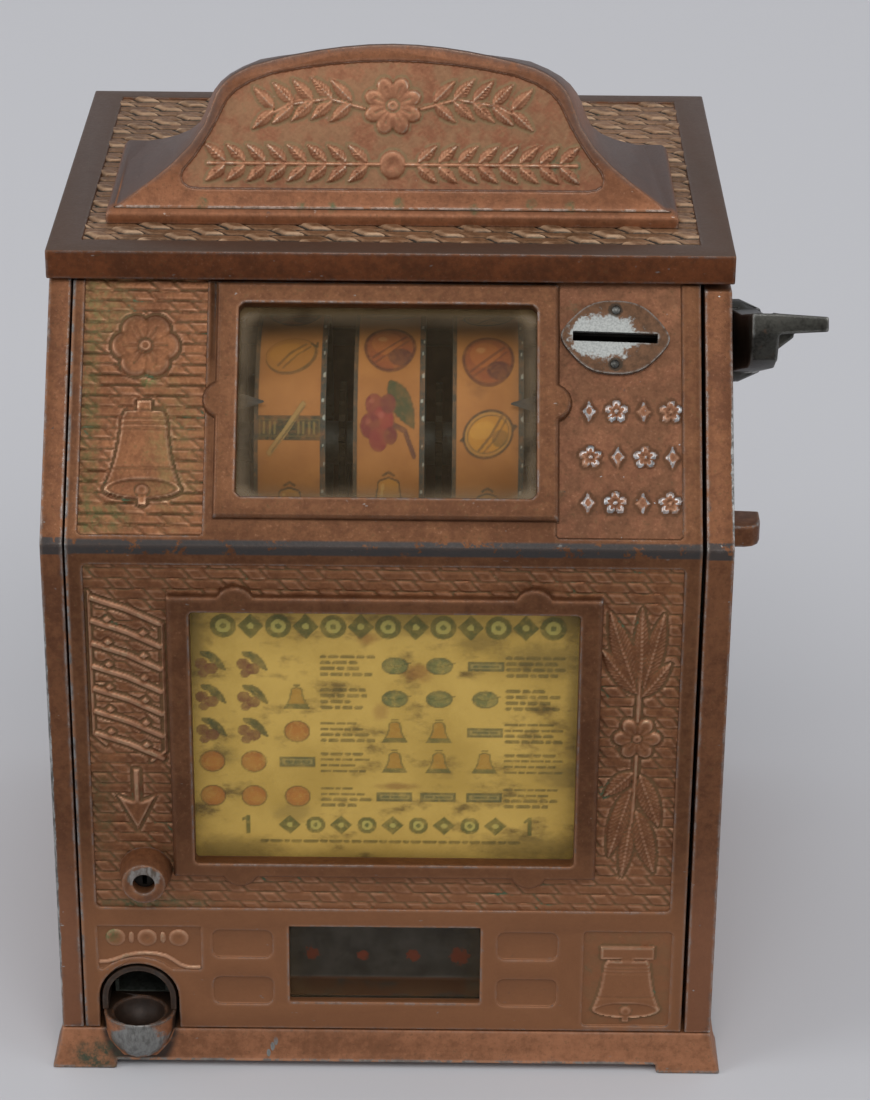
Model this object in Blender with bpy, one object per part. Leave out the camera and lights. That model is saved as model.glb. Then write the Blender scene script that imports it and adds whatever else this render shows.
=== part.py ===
"""Counter gum vending machine with three spinning reels, built piece by piece.

The case frame has x to the right from the middle of the case, y into the machine from the lower
front face, and z up from the floor. Lengths are in metres and angles in degrees.
A named empty carries the pieces of each moving body and stands on that body's axis.
"""
import math

import bmesh
import bpy
from mathutils import Matrix, Vector
from mathutils.geometry import interpolate_bezier

# Fits shared by all pieces
SEAT_GAP = 0.0003
RUNNING_GAP = 0.0003
OVERRUN = 0.004
MERGE_DISTANCE = 0.00001
FINE_SEGMENTS = 36
ROUND_SEGMENTS = 24
SMALL_SEGMENTS = 16
CORNER_STEPS = 3
SHARP_ANGLE = 32.0

# Case
CASE_WIDTH = 0.212
CASE_DEPTH = 0.2076
KNEE_HEIGHT = 0.188
LID_UNDERSIDE = 0.255
SLOPE_RUN = 0.0532
WALL = 0.0045
EDGE_DEPTH = 0.007
LEFT_EDGE_WIDTH = 0.0069
RIGHT_EDGE_WIDTH = 0.0085
REAR_EDGE_WIDTH = 0.008
END_EDGE_WIDTH = 0.006
RIGHT_TOP_DROP = 0.0018

# Base casting
BASE_HEIGHT = 0.0128
BASE_FRONT_FLARE = 0.0044
BASE_SIDE_FLARE = 0.0034
BASE_FLARE_SHARES = ((0.0, 1.0), (0.25, 0.66), (0.6, 0.28), (1.0, 0.0))
BASE_SKIN = 0.004
BASE_SKIRT = 0.006
FOOT_LENGTH = 0.021
FOOT_DROP = 0.0024
FOOT_CORNER = 0.018

# Gum cup on the base and the throat behind it
CUP_CENTRE_X = -0.0806
CUP_WIDTH = 0.0236
CUP_REACH = 0.0095
CUP_LIP_HEIGHT = 0.0198
CUP_UNDERSIDE = 0.0046
CUP_BACK = 0.0118
CUP_SPRING = 0.0011
CUP_RING_SHARES = ((1.0, 1.0), (0.6, 0.96), (0.3, 0.82), (0.0, 0.55))
BOWL_RADIUS = 0.0088
BOWL_RISE = 0.0015
ARCH_RADIUS = 0.013
ARCH_SPRING_HEIGHT = 0.0246
THROAT_GAP = 0.001
THROAT_WALL = 0.0018
THROAT_LENGTH = 0.022

# Back plate, lid and marquee
BACK_THICKNESS = 0.003
LID_WIDTH = 0.2136
LID_FRONT = 0.051
LID_REAR_OVERHANG = 0.0034
LID_REAR = CASE_DEPTH + LID_REAR_OVERHANG
LID_THICKNESS = 0.0095
LID_SKIN = 0.0042
LID_POCKET_MARGIN = 0.012
LID_RIM_SIDE = 0.0105
LID_RIM_FRONT = 0.010
LID_RIM_REAR = 0.007
LID_RECESS = 0.0014
MARQUEE_FRONT = 0.0775
MARQUEE_PLINTH_WIDTH = 0.181
MARQUEE_PLINTH_DEPTH = 0.068
MARQUEE_PLINTH_HEIGHT = 0.0052
MARQUEE_STEP = 0.0016
MARQUEE_HEIGHT = 0.0535
MARQUEE_LEAN = 17.0
MARQUEE_REAR_HEIGHT_SHARE = 0.66
MARQUEE_FRONT_SHARES = (
    ((1.0, 0.0), (0.86, 0.20), (0.68, 0.36), (0.635, 0.66)),
    ((0.635, 0.66), (0.618, 0.745), (0.59, 0.81), (0.50, 0.87)),
    ((0.50, 0.87), (0.36, 0.94), (0.17, 1.0), (0.0, 1.0)),
)
MARQUEE_REAR_SHARES = (
    ((1.0, 0.0), (0.86, 0.10), (0.74, 0.10), (0.71, 0.36)),
    ((0.71, 0.36), (0.68, 0.62), (0.65, 0.75), (0.50, 0.90)),
    ((0.50, 0.90), (0.36, 0.98), (0.18, 1.0), (0.0, 1.0)),
)
MARQUEE_CURVE_POINTS = 7
PANEL_RECESS = 0.0012
PANEL_SHARES = (
    ((0.0, 0.143), (0.20, 0.143), (0.50, 0.143), (0.69, 0.143)),
    ((0.69, 0.143), (0.745, 0.143), (0.765, 0.19), (0.742, 0.255)),
    ((0.742, 0.255), (0.70, 0.32), (0.63, 0.51), (0.60, 0.63)),
    ((0.60, 0.63), (0.585, 0.69), (0.55, 0.76), (0.43, 0.82)),
    ((0.43, 0.82), (0.29, 0.87), (0.15, 0.90), (0.0, 0.90)),
)

# Door casting
DOOR_GAP_LEFT = 0.0005
DOOR_GAP_RIGHT = 0.0012
DOOR_GAP_TOP = 0.0008
DOOR_GAP_BOTTOM = 0.0005
DOOR_THICKNESS = 0.0035
DOOR_DRAFT = 0.0016
DOOR_RIB_INSET = 0.0045
DOOR_RIB_WIDTH = 0.003
DOOR_RIB_DEPTH = 0.0078
FRAME_PROUD = 0.0020
FRAME_BEVEL = 0.0009
EAR_RADIUS = 0.0062
EAR_STEPS = 7
RECESS_DEPTH = 0.0014
SHALLOW_RECESS = 0.0009
RECESS_CORNER = 0.0008
PAD_CORNER = 0.0024

WINDOW_CENTRE_X = -0.0006
WINDOW_WIDTH = 0.0922
WINDOW_HEIGHT = 0.0616
WINDOW_FRAME_FOOT = 0.0087
WINDOW_CORNER = 0.0015
WINDOW_FRAME_BORDER = 0.0068
WINDOW_CENTRE_S = WINDOW_FRAME_FOOT + WINDOW_FRAME_BORDER + WINDOW_HEIGHT / 2
WINDOW_EAR_RISE = 0.0040
ORNAMENT_RECESS_LEFT = -0.0946
ORNAMENT_RECESS_RIGHT = -0.0566
COIN_RECESS_LEFT = 0.0515
COIN_RECESS_RIGHT = 0.0903
UPPER_RECESS_DROP = 0.0427
UPPER_RECESS_RISE = 0.0417
UPPER_RECESS_LOW_S = WINDOW_CENTRE_S - UPPER_RECESS_DROP
UPPER_RECESS_HIGH_S = WINDOW_CENTRE_S + UPPER_RECESS_RISE

CARD_CENTRE_X = -0.0007
CARD_CENTRE_Z = 0.1215
CARD_WIDTH = 0.1205
CARD_HEIGHT = 0.0895
CARD_CORNER = 0.0008
CARD_FRAME_BORDER_SIDE = 0.0070
CARD_FRAME_BORDER_END = 0.0052
CARD_EAR_OFFSET = 0.0460
CARD_EAR_RISE = 0.0035
PATTERN_RIGHT = 0.0910
PATTERN_LOW = 0.0590
PATTERN_HIGH = 0.1815

COIN_WINDOW_CENTRE_X = -0.0006
COIN_WINDOW_CENTRE_Z = 0.0379
COIN_WINDOW_WIDTH = 0.0618
COIN_WINDOW_HEIGHT = 0.0288
PAD_WIDTH = 0.0194
PAD_HEIGHT = 0.0104
PAD_LEFT_X = -0.0466
PAD_RIGHT_X = 0.0456
PAD_HIGH_Z = 0.0455
PAD_LOW_Z = 0.0277
SIGN_RECESS_LEFT = -0.0934
SIGN_RECESS_RIGHT = -0.0600
SIGN_RECESS_HIGH = 0.0518
SIGN_RECESS_LOW = 0.0355
SIGN_ARCH_MARGIN = 0.0026
BELL_RECESS_LEFT = 0.0637
BELL_RECESS_RIGHT = 0.0922
BELL_RECESS_LOW = 0.0152
BELL_RECESS_HIGH = 0.0513

# Panes, card and coin entry on the door
PANE_THICKNESS = 0.002
PANE_LAP = 0.004
CARD_THICKNESS = 0.0006
POINTER_LENGTH = 0.0092
POINTER_HALF_HEIGHT = 0.0036
POINTER_THICKNESS = 0.0008
POINTER_TAB = 0.005
POINTER_RISE = 0.0017
POINTER_S = WINDOW_CENTRE_S + POINTER_RISE
COIN_PLATE_CENTRE_X = 0.0697
COIN_PLATE_RISE = 0.0211
COIN_PLATE_CENTRE_S = WINDOW_CENTRE_S + COIN_PLATE_RISE
COIN_PLATE_HALF_WIDTH = 0.0169
COIN_PLATE_HALF_HEIGHT = 0.0122
COIN_PLATE_THICKNESS = 0.0013
COIN_PLATE_TURN = -1.5
COIN_SLOT_LENGTH = 0.0262
COIN_SLOT_HEIGHT = 0.0030
COIN_SLOT_CLEARANCE = 0.0006
COIN_GUIDE_DEPTH = 0.0072
COIN_GUIDE_WALL = 0.0015

# Lock
LOCK_Z = 0.0727
LOCK_BOSS_BASE_RADIUS = 0.0086
LOCK_FRAME_GAP = 0.00045
LOCK_X = (CARD_CENTRE_X - CARD_WIDTH / 2 - CARD_FRAME_BORDER_SIDE - LOCK_FRAME_GAP
          - LOCK_BOSS_BASE_RADIUS)
LOCK_BOSS_FACE_RADIUS = 0.0069
LOCK_BOSS_REACH = 0.0083
LOCK_BARREL_RADIUS = 0.0052
LOCK_BARREL_REAR = 0.0083
LOCK_BORE_RADIUS = 0.0035
LOCK_PLUG_SET_BACK = 0.004
LOCK_KEYWAY_WIDTH = 0.0014
LOCK_KEYWAY_HEIGHT = 0.0042
LOCK_KEYWAY_DEPTH = 0.005
PATTERN_LOCK_MARGIN = 0.0076
PATTERN_LEFT = LOCK_X - LOCK_BOSS_BASE_RADIUS - PATTERN_LOCK_MARGIN
LOCK_CAM_LENGTH = 0.0237
LOCK_CAM_WIDTH = 0.008
LOCK_CAM_THICKNESS = 0.002

# Door hinges
HINGE_INSET = 0.0128
HINGE_DEPTH = 0.0052
HINGE_PIN_RADIUS = 0.0012
HINGE_PIN_LENGTH = 0.0085
HINGE_LOW_Z = 0.060
HINGE_HIGH_Z = 0.152
HINGE_ARM_HEIGHT = 0.005
HINGE_ARM_WIDTH = 0.0042
HINGE_ARM_REACH_BACK = 0.020
HINGE_FOOT_LENGTH = 0.018
HINGE_FOOT_HEIGHT = 0.016
HINGE_FOOT_THICKNESS = 0.0025
KNUCKLE_HEIGHT = 0.0095
KNUCKLE_HALF_WIDTH = 0.0036

# Mechanism frame
FLOOR_PLATE_THICKNESS = 0.002
FLOOR_PLATE_FRONT = 0.044
FLOOR_PLATE_REAR_GAP = 0.0176
FLOOR_PLATE_REAR = CASE_DEPTH - FLOOR_PLATE_REAR_GAP
FLOOR_PLATE_SIDE_GAP = 0.004
FRAME_HALF_SPACING = 0.0502
FRAME_THICKNESS = 0.0025
FRAME_FRONT = 0.046
FRAME_REAR = 0.136
FRAME_TOP = 0.224
FRAME_SHOULDER = 0.026
FRAME_FOOT_WIDTH = 0.0055
FRAME_HOLE_RADIUS = 0.013
FRAME_HOLE_Y = 0.091
FRAME_HOLE_LOW_Z = 0.072
FRAME_HOLE_HIGH_Z = 0.112
TIE_ROD_RADIUS = 0.003
TIE_ROD_INSET = 0.007
TIE_ROD_LOW_Z = 0.088
TIE_ROD_HIGH_Z = 0.196

# Reels
REEL_RADIUS = 0.041
REEL_GLASS_CLEARANCE = 0.0095
REEL_MIDDLE_X = -0.0001
REEL_RIM = 0.0012
REEL_WEB = 0.0015
REEL_HUB_RADIUS = 0.007
REEL_STRIP_THICKNESS = 0.0006
REEL_SHAFT_RADIUS = 0.004
REEL_SHAFT_SHOULDER = 0.0062
STAR_GAP = 0.0034
STAR_THICKNESS = 0.002
STAR_NEXT_GAP = 0.0032
REEL_PLATE_GAP = 0.0083
REEL_ROOM = STAR_GAP + STAR_THICKNESS + STAR_NEXT_GAP
REEL_WIDTH = (2 * (FRAME_HALF_SPACING - REEL_PLATE_GAP) - 2 * REEL_ROOM) / 3
REEL_PITCH = REEL_WIDTH + REEL_ROOM
STAR_TIP_RADIUS = 0.020
STAR_ROOT_RADIUS = 0.0155
STAR_TEETH = 20
STAR_TOOTH_SHARES = (0.76, 0.90, 1.10, 1.24)
STAR_PHASE = 0.5

# Stop arms under the star wheels
STOP_SHAFT_BACK = 0.052
STOP_SHAFT_DROP = 0.0275
STOP_SHAFT_RADIUS = 0.003
STOP_ARM_HUB_RADIUS = 0.006
STOP_ARM_HEIGHT = 0.006
STOP_ARM_THICKNESS = 0.0018
STOP_NOSE_WIDTH = 0.0022
STOP_NOSE_GAP = 0.0005

# Lever on the right side
LEVER_AXIS_Y = 0.112
LEVER_AXIS_Z = 0.212
LEVER_TRAVEL = 44.0
LEVER_RISE = 22.0
LEVER_HUB_RADIUS = 0.0138
LEVER_HUB_FACE_RADIUS = 0.0105
LEVER_HUB_GAP = 0.001
LEVER_HUB_LENGTH = 0.0145
LEVER_ARM_START = 0.0055
LEVER_ARM_THICKNESS = 0.0085
LEVER_LENGTH = 0.081
LEVER_ARM_HALF_ROOT = 0.0105
LEVER_ARM_TOP = 0.0083
LEVER_ARM_BOTTOM = 0.0086
LEVER_ARM_OUTLINE_SHARES = ((0.92, -0.70), (0.80, -1.0))
LEVER_TAB_LENGTH = 0.020
LEVER_TAB_THICKNESS = 0.0064
LEVER_TAB_REACH = 0.0292
LEVER_TAB_TIP_SHARE = 0.86
LEVER_GUSSET_REACH = 0.019
LEVER_GUSSET_LENGTH = 0.010
LEVER_SHAFT_RADIUS = 0.005
LEVER_CROSS_RADIUS = 0.003
LEVER_BUSH_WALL = 0.003
LEVER_BUSH_LIP = 0.0022
LUG_DEPTH = 0.013
LUG_HEIGHT = 0.0072
LUG_REACH = 0.0117
LUG_CORNER = 0.005
LUG_RIDGE = 0.001
LUG_CONTACT_GAP = 0.0004
CRANK_LENGTH = 0.0268
CRANK_HUB_RADIUS = 0.007
CRANK_TIP_RADIUS = 0.0045
CRANK_THICKNESS = 0.0028
CRANK_PIN_RADIUS = 0.002
CRANK_FRAME_GAP = 0.0015
SPRING_WIRE_RADIUS = 0.0006
SPRING_TURNS = 5
SPRING_POINTS_PER_TURN = 10
SPRING_START_GAP = 0.008
SPRING_LENGTH = 0.016
SPRING_TAIL = 0.012

# Gum feed on the left of the frame
GUM_AXIS_Y = 0.066
GUM_AXIS_Z = 0.066
GUM_WHEEL_RADIUS = 0.024
GUM_WHEEL_WIDTH = 0.019
GUM_POCKETS = 5
GUM_POCKET_RADIUS = 0.0087
GUM_POCKET_INSET = 0.0065
GUM_POCKET_STEPS = 8
GUM_LAND_STEPS = 5
GUM_SHAFT_RADIUS = 0.0025
RATCHET_RADIUS = 0.016
RATCHET_ROOT_RADIUS = 0.0135
RATCHET_TEETH = 10
RATCHET_TOOTH_SHARES = (0.70, 0.82, 1.12, 1.28)
RATCHET_THICKNESS = 0.002
LINK_WIDTH = 0.006
LINK_THICKNESS = 0.002
LINK_HOOK_GAP = 0.0026
LINK_DROP = 0.012
MAGAZINE_RADIUS = 0.0105
MAGAZINE_WALL = 0.0015
MAGAZINE_TOP = 0.236
MAGAZINE_WHEEL_GAP = 0.0006
MAGAZINE_LUG_HEIGHT = 0.008
MAGAZINE_LUG_WIDTH = 0.006
MAGAZINE_LUG_LOW_Z = 0.120
MAGAZINE_LUG_HIGH_Z = 0.205
GUM_BRACKET_THICKNESS = 0.0025
GUM_BRACKET_WIDTH = 0.026
GUM_BRACKET_WHEEL_GAP = 0.002
CHUTE_WALL = 0.0012
CHUTE_CLEARANCE = 0.0014
CHUTE_SIDE_HEIGHT = 0.004
CHUTE_WHEEL_GAP = 0.005
CHUTE_CUP_GAP = 0.0010

# Coin path
COIN_CHUTE_INNER_WIDTH = 0.0262
COIN_CHUTE_FRAME_GAP = 0.0005
COIN_CHUTE_INNER_DEPTH = 0.0046
COIN_CHUTE_WALL = 0.0012
COIN_CHUTE_X = (FRAME_HALF_SPACING + FRAME_FOOT_WIDTH + COIN_CHUTE_FRAME_GAP + COIN_CHUTE_WALL
                + COIN_CHUTE_INNER_WIDTH / 2)
COIN_CHUTE_FRONT = 0.0655
COIN_CHUTE_TOP = 0.226
COIN_TRAY_HALF_WIDTH = 0.0365
COIN_TRAY_BACK = 0.0200
COIN_TRAY_SHEET = 0.0016
COIN_TRAY_TOP = 0.0560
COIN_TRAY_LEDGE_FRONT = 0.0085
COIN_TRAY_LEDGE_HEIGHT = 0.0262
COIN_TRAY_RAIL = 0.0030
COIN_TRAY_FOOT = 0.0200
CASH_BOX_SIDE_GAP = 0.0012
CASH_BOX_WIDTH = 2 * (FRAME_HALF_SPACING - CASH_BOX_SIDE_GAP)
CASH_BOX_FRONT = 0.060
CASH_BOX_DEPTH = 0.082
CASH_BOX_HEIGHT = 0.042
CASH_BOX_WALL = 0.0016

# Cover plate low on the right side
COVER_PLATE_Y = 0.030
COVER_PLATE_Z = 0.0945
COVER_PLATE_WIDTH = 0.012
COVER_PLATE_HEIGHT = 0.018
COVER_PLATE_THICKNESS = 0.0008

# Places worked out from the sizes above
SLOPE_ANGLE = math.atan2(SLOPE_RUN, LID_UNDERSIDE - KNEE_HEIGHT)
HALF_CASE = CASE_WIDTH / 2
BASE_HALF_WIDTH = HALF_CASE + BASE_SIDE_FLARE
LEVER_TIP_X = HALF_CASE + LEVER_TAB_REACH
FRAME_SHIFT_X = (BASE_HALF_WIDTH - LEVER_TIP_X) / 2
FRAME_SHIFT_Y = (CUP_REACH - CASE_DEPTH - BASE_FRONT_FLARE) / 2
DOOR_LEFT = -HALF_CASE + LEFT_EDGE_WIDTH + DOOR_GAP_LEFT
DOOR_RIGHT = HALF_CASE - RIGHT_EDGE_WIDTH - DOOR_GAP_RIGHT
DOOR_LOW = BASE_HEIGHT + DOOR_GAP_BOTTOM
DOOR_HIGH = LID_UNDERSIDE - DOOR_GAP_TOP
HINGE_X = DOOR_RIGHT - HINGE_INSET
FLOOR_PLATE_LOW = BASE_HEIGHT + SEAT_GAP
FLOOR_PLATE_HIGH = FLOOR_PLATE_LOW + FLOOR_PLATE_THICKNESS
MECHANISM_FLOOR = FLOOR_PLATE_HIGH + SEAT_GAP
PANE_NEAR = DOOR_THICKNESS + SEAT_GAP
PANE_FAR = PANE_NEAR + PANE_THICKNESS
REEL_AXIS_DEPTH = REEL_RADIUS + REEL_GLASS_CLEARANCE
GUM_BALL_LANE_X = CUP_CENTRE_X


def on_slope(across, along, depth=0.0):
    """Point on the sloping front: across, up the slope from the knee, and into the machine."""
    sine, cosine = math.sin(SLOPE_ANGLE), math.cos(SLOPE_ANGLE)
    return Vector((across, along * sine + depth * cosine, KNEE_HEIGHT + along * cosine - depth * sine))


REEL_CENTRE = on_slope(REEL_MIDDLE_X, WINDOW_CENTRE_S, REEL_AXIS_DEPTH)
STOP_SHAFT_Y = REEL_CENTRE.y + STOP_SHAFT_BACK
STOP_SHAFT_Z = REEL_CENTRE.z - STOP_SHAFT_DROP


def plane_from(right, up, inward, origin=(0.0, 0.0, 0.0)):
    """Matrix that takes (across, up, depth) on a drawing plane into the case frame."""
    columns = Matrix((right, up, inward)).transposed().to_4x4()
    return Matrix.Translation(origin) @ columns


PLAN = plane_from((1, 0, 0), (0, 1, 0), (0, 0, 1))
FRONT = plane_from((1, 0, 0), (0, 0, 1), (0, 1, 0))
SIDE = plane_from((0, 1, 0), (0, 0, 1), (1, 0, 0))
SLOPE = plane_from(
    (1, 0, 0),
    (0, math.sin(SLOPE_ANGLE), math.cos(SLOPE_ANGLE)),
    (0, math.cos(SLOPE_ANGLE), -math.sin(SLOPE_ANGLE)),
    (0.0, 0.0, KNEE_HEIGHT),
)


# Finishes, each with its colour, metallic value and roughness
FINISHES = {
    "copper_paint": ((0.30, 0.135, 0.075, 1.0), 0.35, 0.50),
    "dark_copper_paint": ((0.14, 0.065, 0.045, 1.0), 0.35, 0.50),
    "dark_steel": ((0.10, 0.105, 0.11, 1.0), 0.85, 0.45),
    "bright_nickel": ((0.60, 0.60, 0.58, 1.0), 0.95, 0.32),
    "zinc_sheet": ((0.42, 0.42, 0.40, 1.0), 0.80, 0.48),
    "brass": ((0.55, 0.38, 0.14, 1.0), 0.90, 0.38),
    "reel_paper": ((0.62, 0.40, 0.17, 1.0), 0.0, 0.70),
    "card_paper": ((0.72, 0.66, 0.28, 1.0), 0.0, 0.75),
    "glass": ((0.85, 0.88, 0.84, 1.0), 0.0, 0.12),
}


def finish(name):
    """Material of one finish, made the first time it is asked for."""
    material = bpy.data.materials.get(name)
    if material is None:
        colour, metallic, roughness = FINISHES[name]
        material = bpy.data.materials.new(name)
        material.use_nodes = True
        shader = material.node_tree.nodes["Principled BSDF"]
        shader.inputs["Base Color"].default_value = colour
        shader.inputs["Metallic"].default_value = metallic
        shader.inputs["Roughness"].default_value = roughness
    return material


def clear_scene():
    """Remove what the start-up scene holds."""
    for thing in list(bpy.data.objects):
        bpy.data.objects.remove(thing)


def empty(name, place, parent=None):
    """Empty that stands on a body's axis, in the case frame."""
    holder = bpy.data.objects.new(name, None)
    bpy.context.scene.collection.objects.link(holder)
    holder["place"] = tuple(place)
    if parent is None:
        holder.location = place
        holder["place"] = (0.0, 0.0, 0.0)
    else:
        holder.parent = parent
        holder.location = Vector(place) - Vector(parent["place"])
    return holder


def make(name, mesh_tool, finish_name, body, smooth=False):
    """Object of one closed solid that was modelled in the case frame."""
    bmesh.ops.remove_doubles(mesh_tool, verts=mesh_tool.verts, dist=MERGE_DISTANCE)
    bmesh.ops.recalc_face_normals(mesh_tool, faces=mesh_tool.faces)
    bmesh.ops.translate(mesh_tool, verts=mesh_tool.verts, vec=-Vector(body["place"]))
    mesh = bpy.data.meshes.new(name)
    mesh_tool.to_mesh(mesh)
    mesh_tool.free()
    if smooth:
        mesh.shade_smooth()
        mesh.set_sharp_from_angle(angle=math.radians(SHARP_ANGLE))
    piece = bpy.data.objects.new(name, mesh)
    bpy.context.scene.collection.objects.link(piece)
    piece.parent = body
    if finish_name:
        mesh.materials.append(finish(finish_name))
    return piece


def combine(piece, mesh_tool, label, body, operation="DIFFERENCE"):
    """Boolean of a piece with one or more closed shapes held in a hidden helper."""
    helper = make(f"{piece.name}_{label}", mesh_tool, None, body)
    helper.hide_render = True
    helper.display_type = "WIRE"
    change = piece.modifiers.new(label, "BOOLEAN")
    change.object = helper
    change.operation = operation
    return piece


def slab(mesh_tool, plane, outline, near, far):
    """Closed outline on a drawing plane, extruded from one depth to another."""
    corners = [mesh_tool.verts.new(plane @ Vector((across, up, near))) for across, up in outline]
    face = mesh_tool.faces.new(corners)
    pushed = bmesh.ops.extrude_face_region(mesh_tool, geom=[face])["geom"]
    moved = [item for item in pushed if isinstance(item, bmesh.types.BMVert)]
    way = plane.to_3x3() @ Vector((0.0, 0.0, far - near))
    bmesh.ops.translate(mesh_tool, verts=moved, vec=way)
    return corners, moved


def loft(mesh_tool, rings):
    """Closed skin over rings that have the same number of points, with flat ends."""
    loops = [[mesh_tool.verts.new(point) for point in ring] for ring in rings]
    count = len(loops[0])
    for first, second in zip(loops, loops[1:]):
        for index in range(count):
            following = (index + 1) % count
            mesh_tool.faces.new((first[index], first[following], second[following], second[index]))
    mesh_tool.faces.new(loops[0])
    mesh_tool.faces.new(loops[-1])


def rectangle(left, right, low, high):
    """Corners of a rectangle."""
    return [(left, low), (right, low), (right, high), (left, high)]


def arc(centre, radius, start, end, steps):
    """Points along an arc, ends included, with angles in degrees."""
    points = []
    for step in range(steps + 1):
        angle = math.radians(start + (end - start) * step / steps)
        points.append((centre[0] + radius * math.cos(angle), centre[1] + radius * math.sin(angle)))
    return points


def rounded(left, right, low, high, radius, steps=CORNER_STEPS):
    """Rectangle with round corners."""
    corners = (
        ((left + radius, low + radius), 180.0),
        ((right - radius, low + radius), 270.0),
        ((right - radius, high - radius), 0.0),
        ((left + radius, high - radius), 90.0),
    )
    return [point for centre, turn in corners for point in arc(centre, radius, turn, turn + 90.0, steps)]


def eared(left, right, low, high, rise, on_ends=(), on_sides=()):
    """Rectangle whose ends or sides carry half-round ears at the given places."""
    sunk = EAR_RADIUS - rise
    sweep = math.degrees(math.acos(sunk / EAR_RADIUS))
    points = [(left, low)]
    for across in sorted(on_ends):
        points += arc((across, low + sunk), EAR_RADIUS, 270.0 - sweep, 270.0 + sweep, EAR_STEPS)
    points.append((right, low))
    for up in sorted(on_sides):
        points += arc((right - sunk, up), EAR_RADIUS, -sweep, sweep, EAR_STEPS)
    points.append((right, high))
    for across in sorted(on_ends, reverse=True):
        points += arc((across, high - sunk), EAR_RADIUS, 90.0 - sweep, 90.0 + sweep, EAR_STEPS)
    points.append((left, high))
    for up in sorted(on_sides, reverse=True):
        points += arc((left + sunk, up), EAR_RADIUS, 180.0 - sweep, 180.0 + sweep, EAR_STEPS)
    return points


def turned(mesh_tool, plane, profile, segments, hollow=False):
    """Profile of (radius, place) turned about the drawing plane's depth line."""
    corners = [mesh_tool.verts.new(plane @ Vector((radius, 0.0, place))) for radius, place in profile]
    edges = [mesh_tool.edges.new(pair) for pair in zip(corners, corners[1:])]
    if hollow:
        edges.append(mesh_tool.edges.new((corners[-1], corners[0])))
    bmesh.ops.spin(
        mesh_tool,
        geom=corners + edges,
        cent=plane.translation,
        axis=plane.to_3x3() @ Vector((0.0, 0.0, 1.0)),
        angle=2 * math.pi,
        steps=segments,
        use_merge=True,
    )
    if not hollow:
        open_edges = [edge for edge in mesh_tool.edges if edge.is_boundary]
        bmesh.ops.holes_fill(mesh_tool, edges=open_edges, sides=0)


def at(plane, across, up, depth=0.0):
    """The same drawing plane with its origin moved to a place on it."""
    return plane @ Matrix.Translation((across, up, depth))


def curve_shares(pieces, points=MARQUEE_CURVE_POINTS):
    """Smooth line through curve pieces, each with its start, two handles and its end."""
    line = [pieces[0][0]]
    for piece in pieces:
        knots = [Vector((share[0], share[1], 0.0)) for share in piece]
        line += [(point.x, point.y) for point in interpolate_bezier(*knots, points)[1:]]
    return line


def tube(mesh_tool, plane, outer, inner, near, far, segments):
    """Plain ring or sleeve about the drawing plane's depth line."""
    section = [(inner, near), (outer, near), (outer, far), (inner, far)]
    turned(mesh_tool, plane, section, segments, hollow=True)


def rod(mesh_tool, plane, radius, near, far, segments=SMALL_SEGMENTS):
    """Plain round rod about the drawing plane's depth line."""
    turned(mesh_tool, plane, [(radius, near), (radius, far)], segments)


def case_outline(top, rear=CASE_DEPTH):
    """Side view of the case from the base up to a height."""
    top_run = SLOPE_RUN * (top - KNEE_HEIGHT) / (LID_UNDERSIDE - KNEE_HEIGHT)
    low = BASE_HEIGHT + SEAT_GAP
    return [(0.0, low), (rear, low), (rear, top), (top_run, top), (0.0, KNEE_HEIGHT)]


def front_offset_outline(depth, low, high):
    """Front edge of a shape that follows the case front at a depth behind it."""
    bend = depth * math.tan(SLOPE_ANGLE / 2)
    slope_run = (high - KNEE_HEIGHT) * math.tan(SLOPE_ANGLE)
    return [(depth, low), (depth, KNEE_HEIGHT - bend), (slope_run + depth / math.cos(SLOPE_ANGLE), high)]


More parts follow.
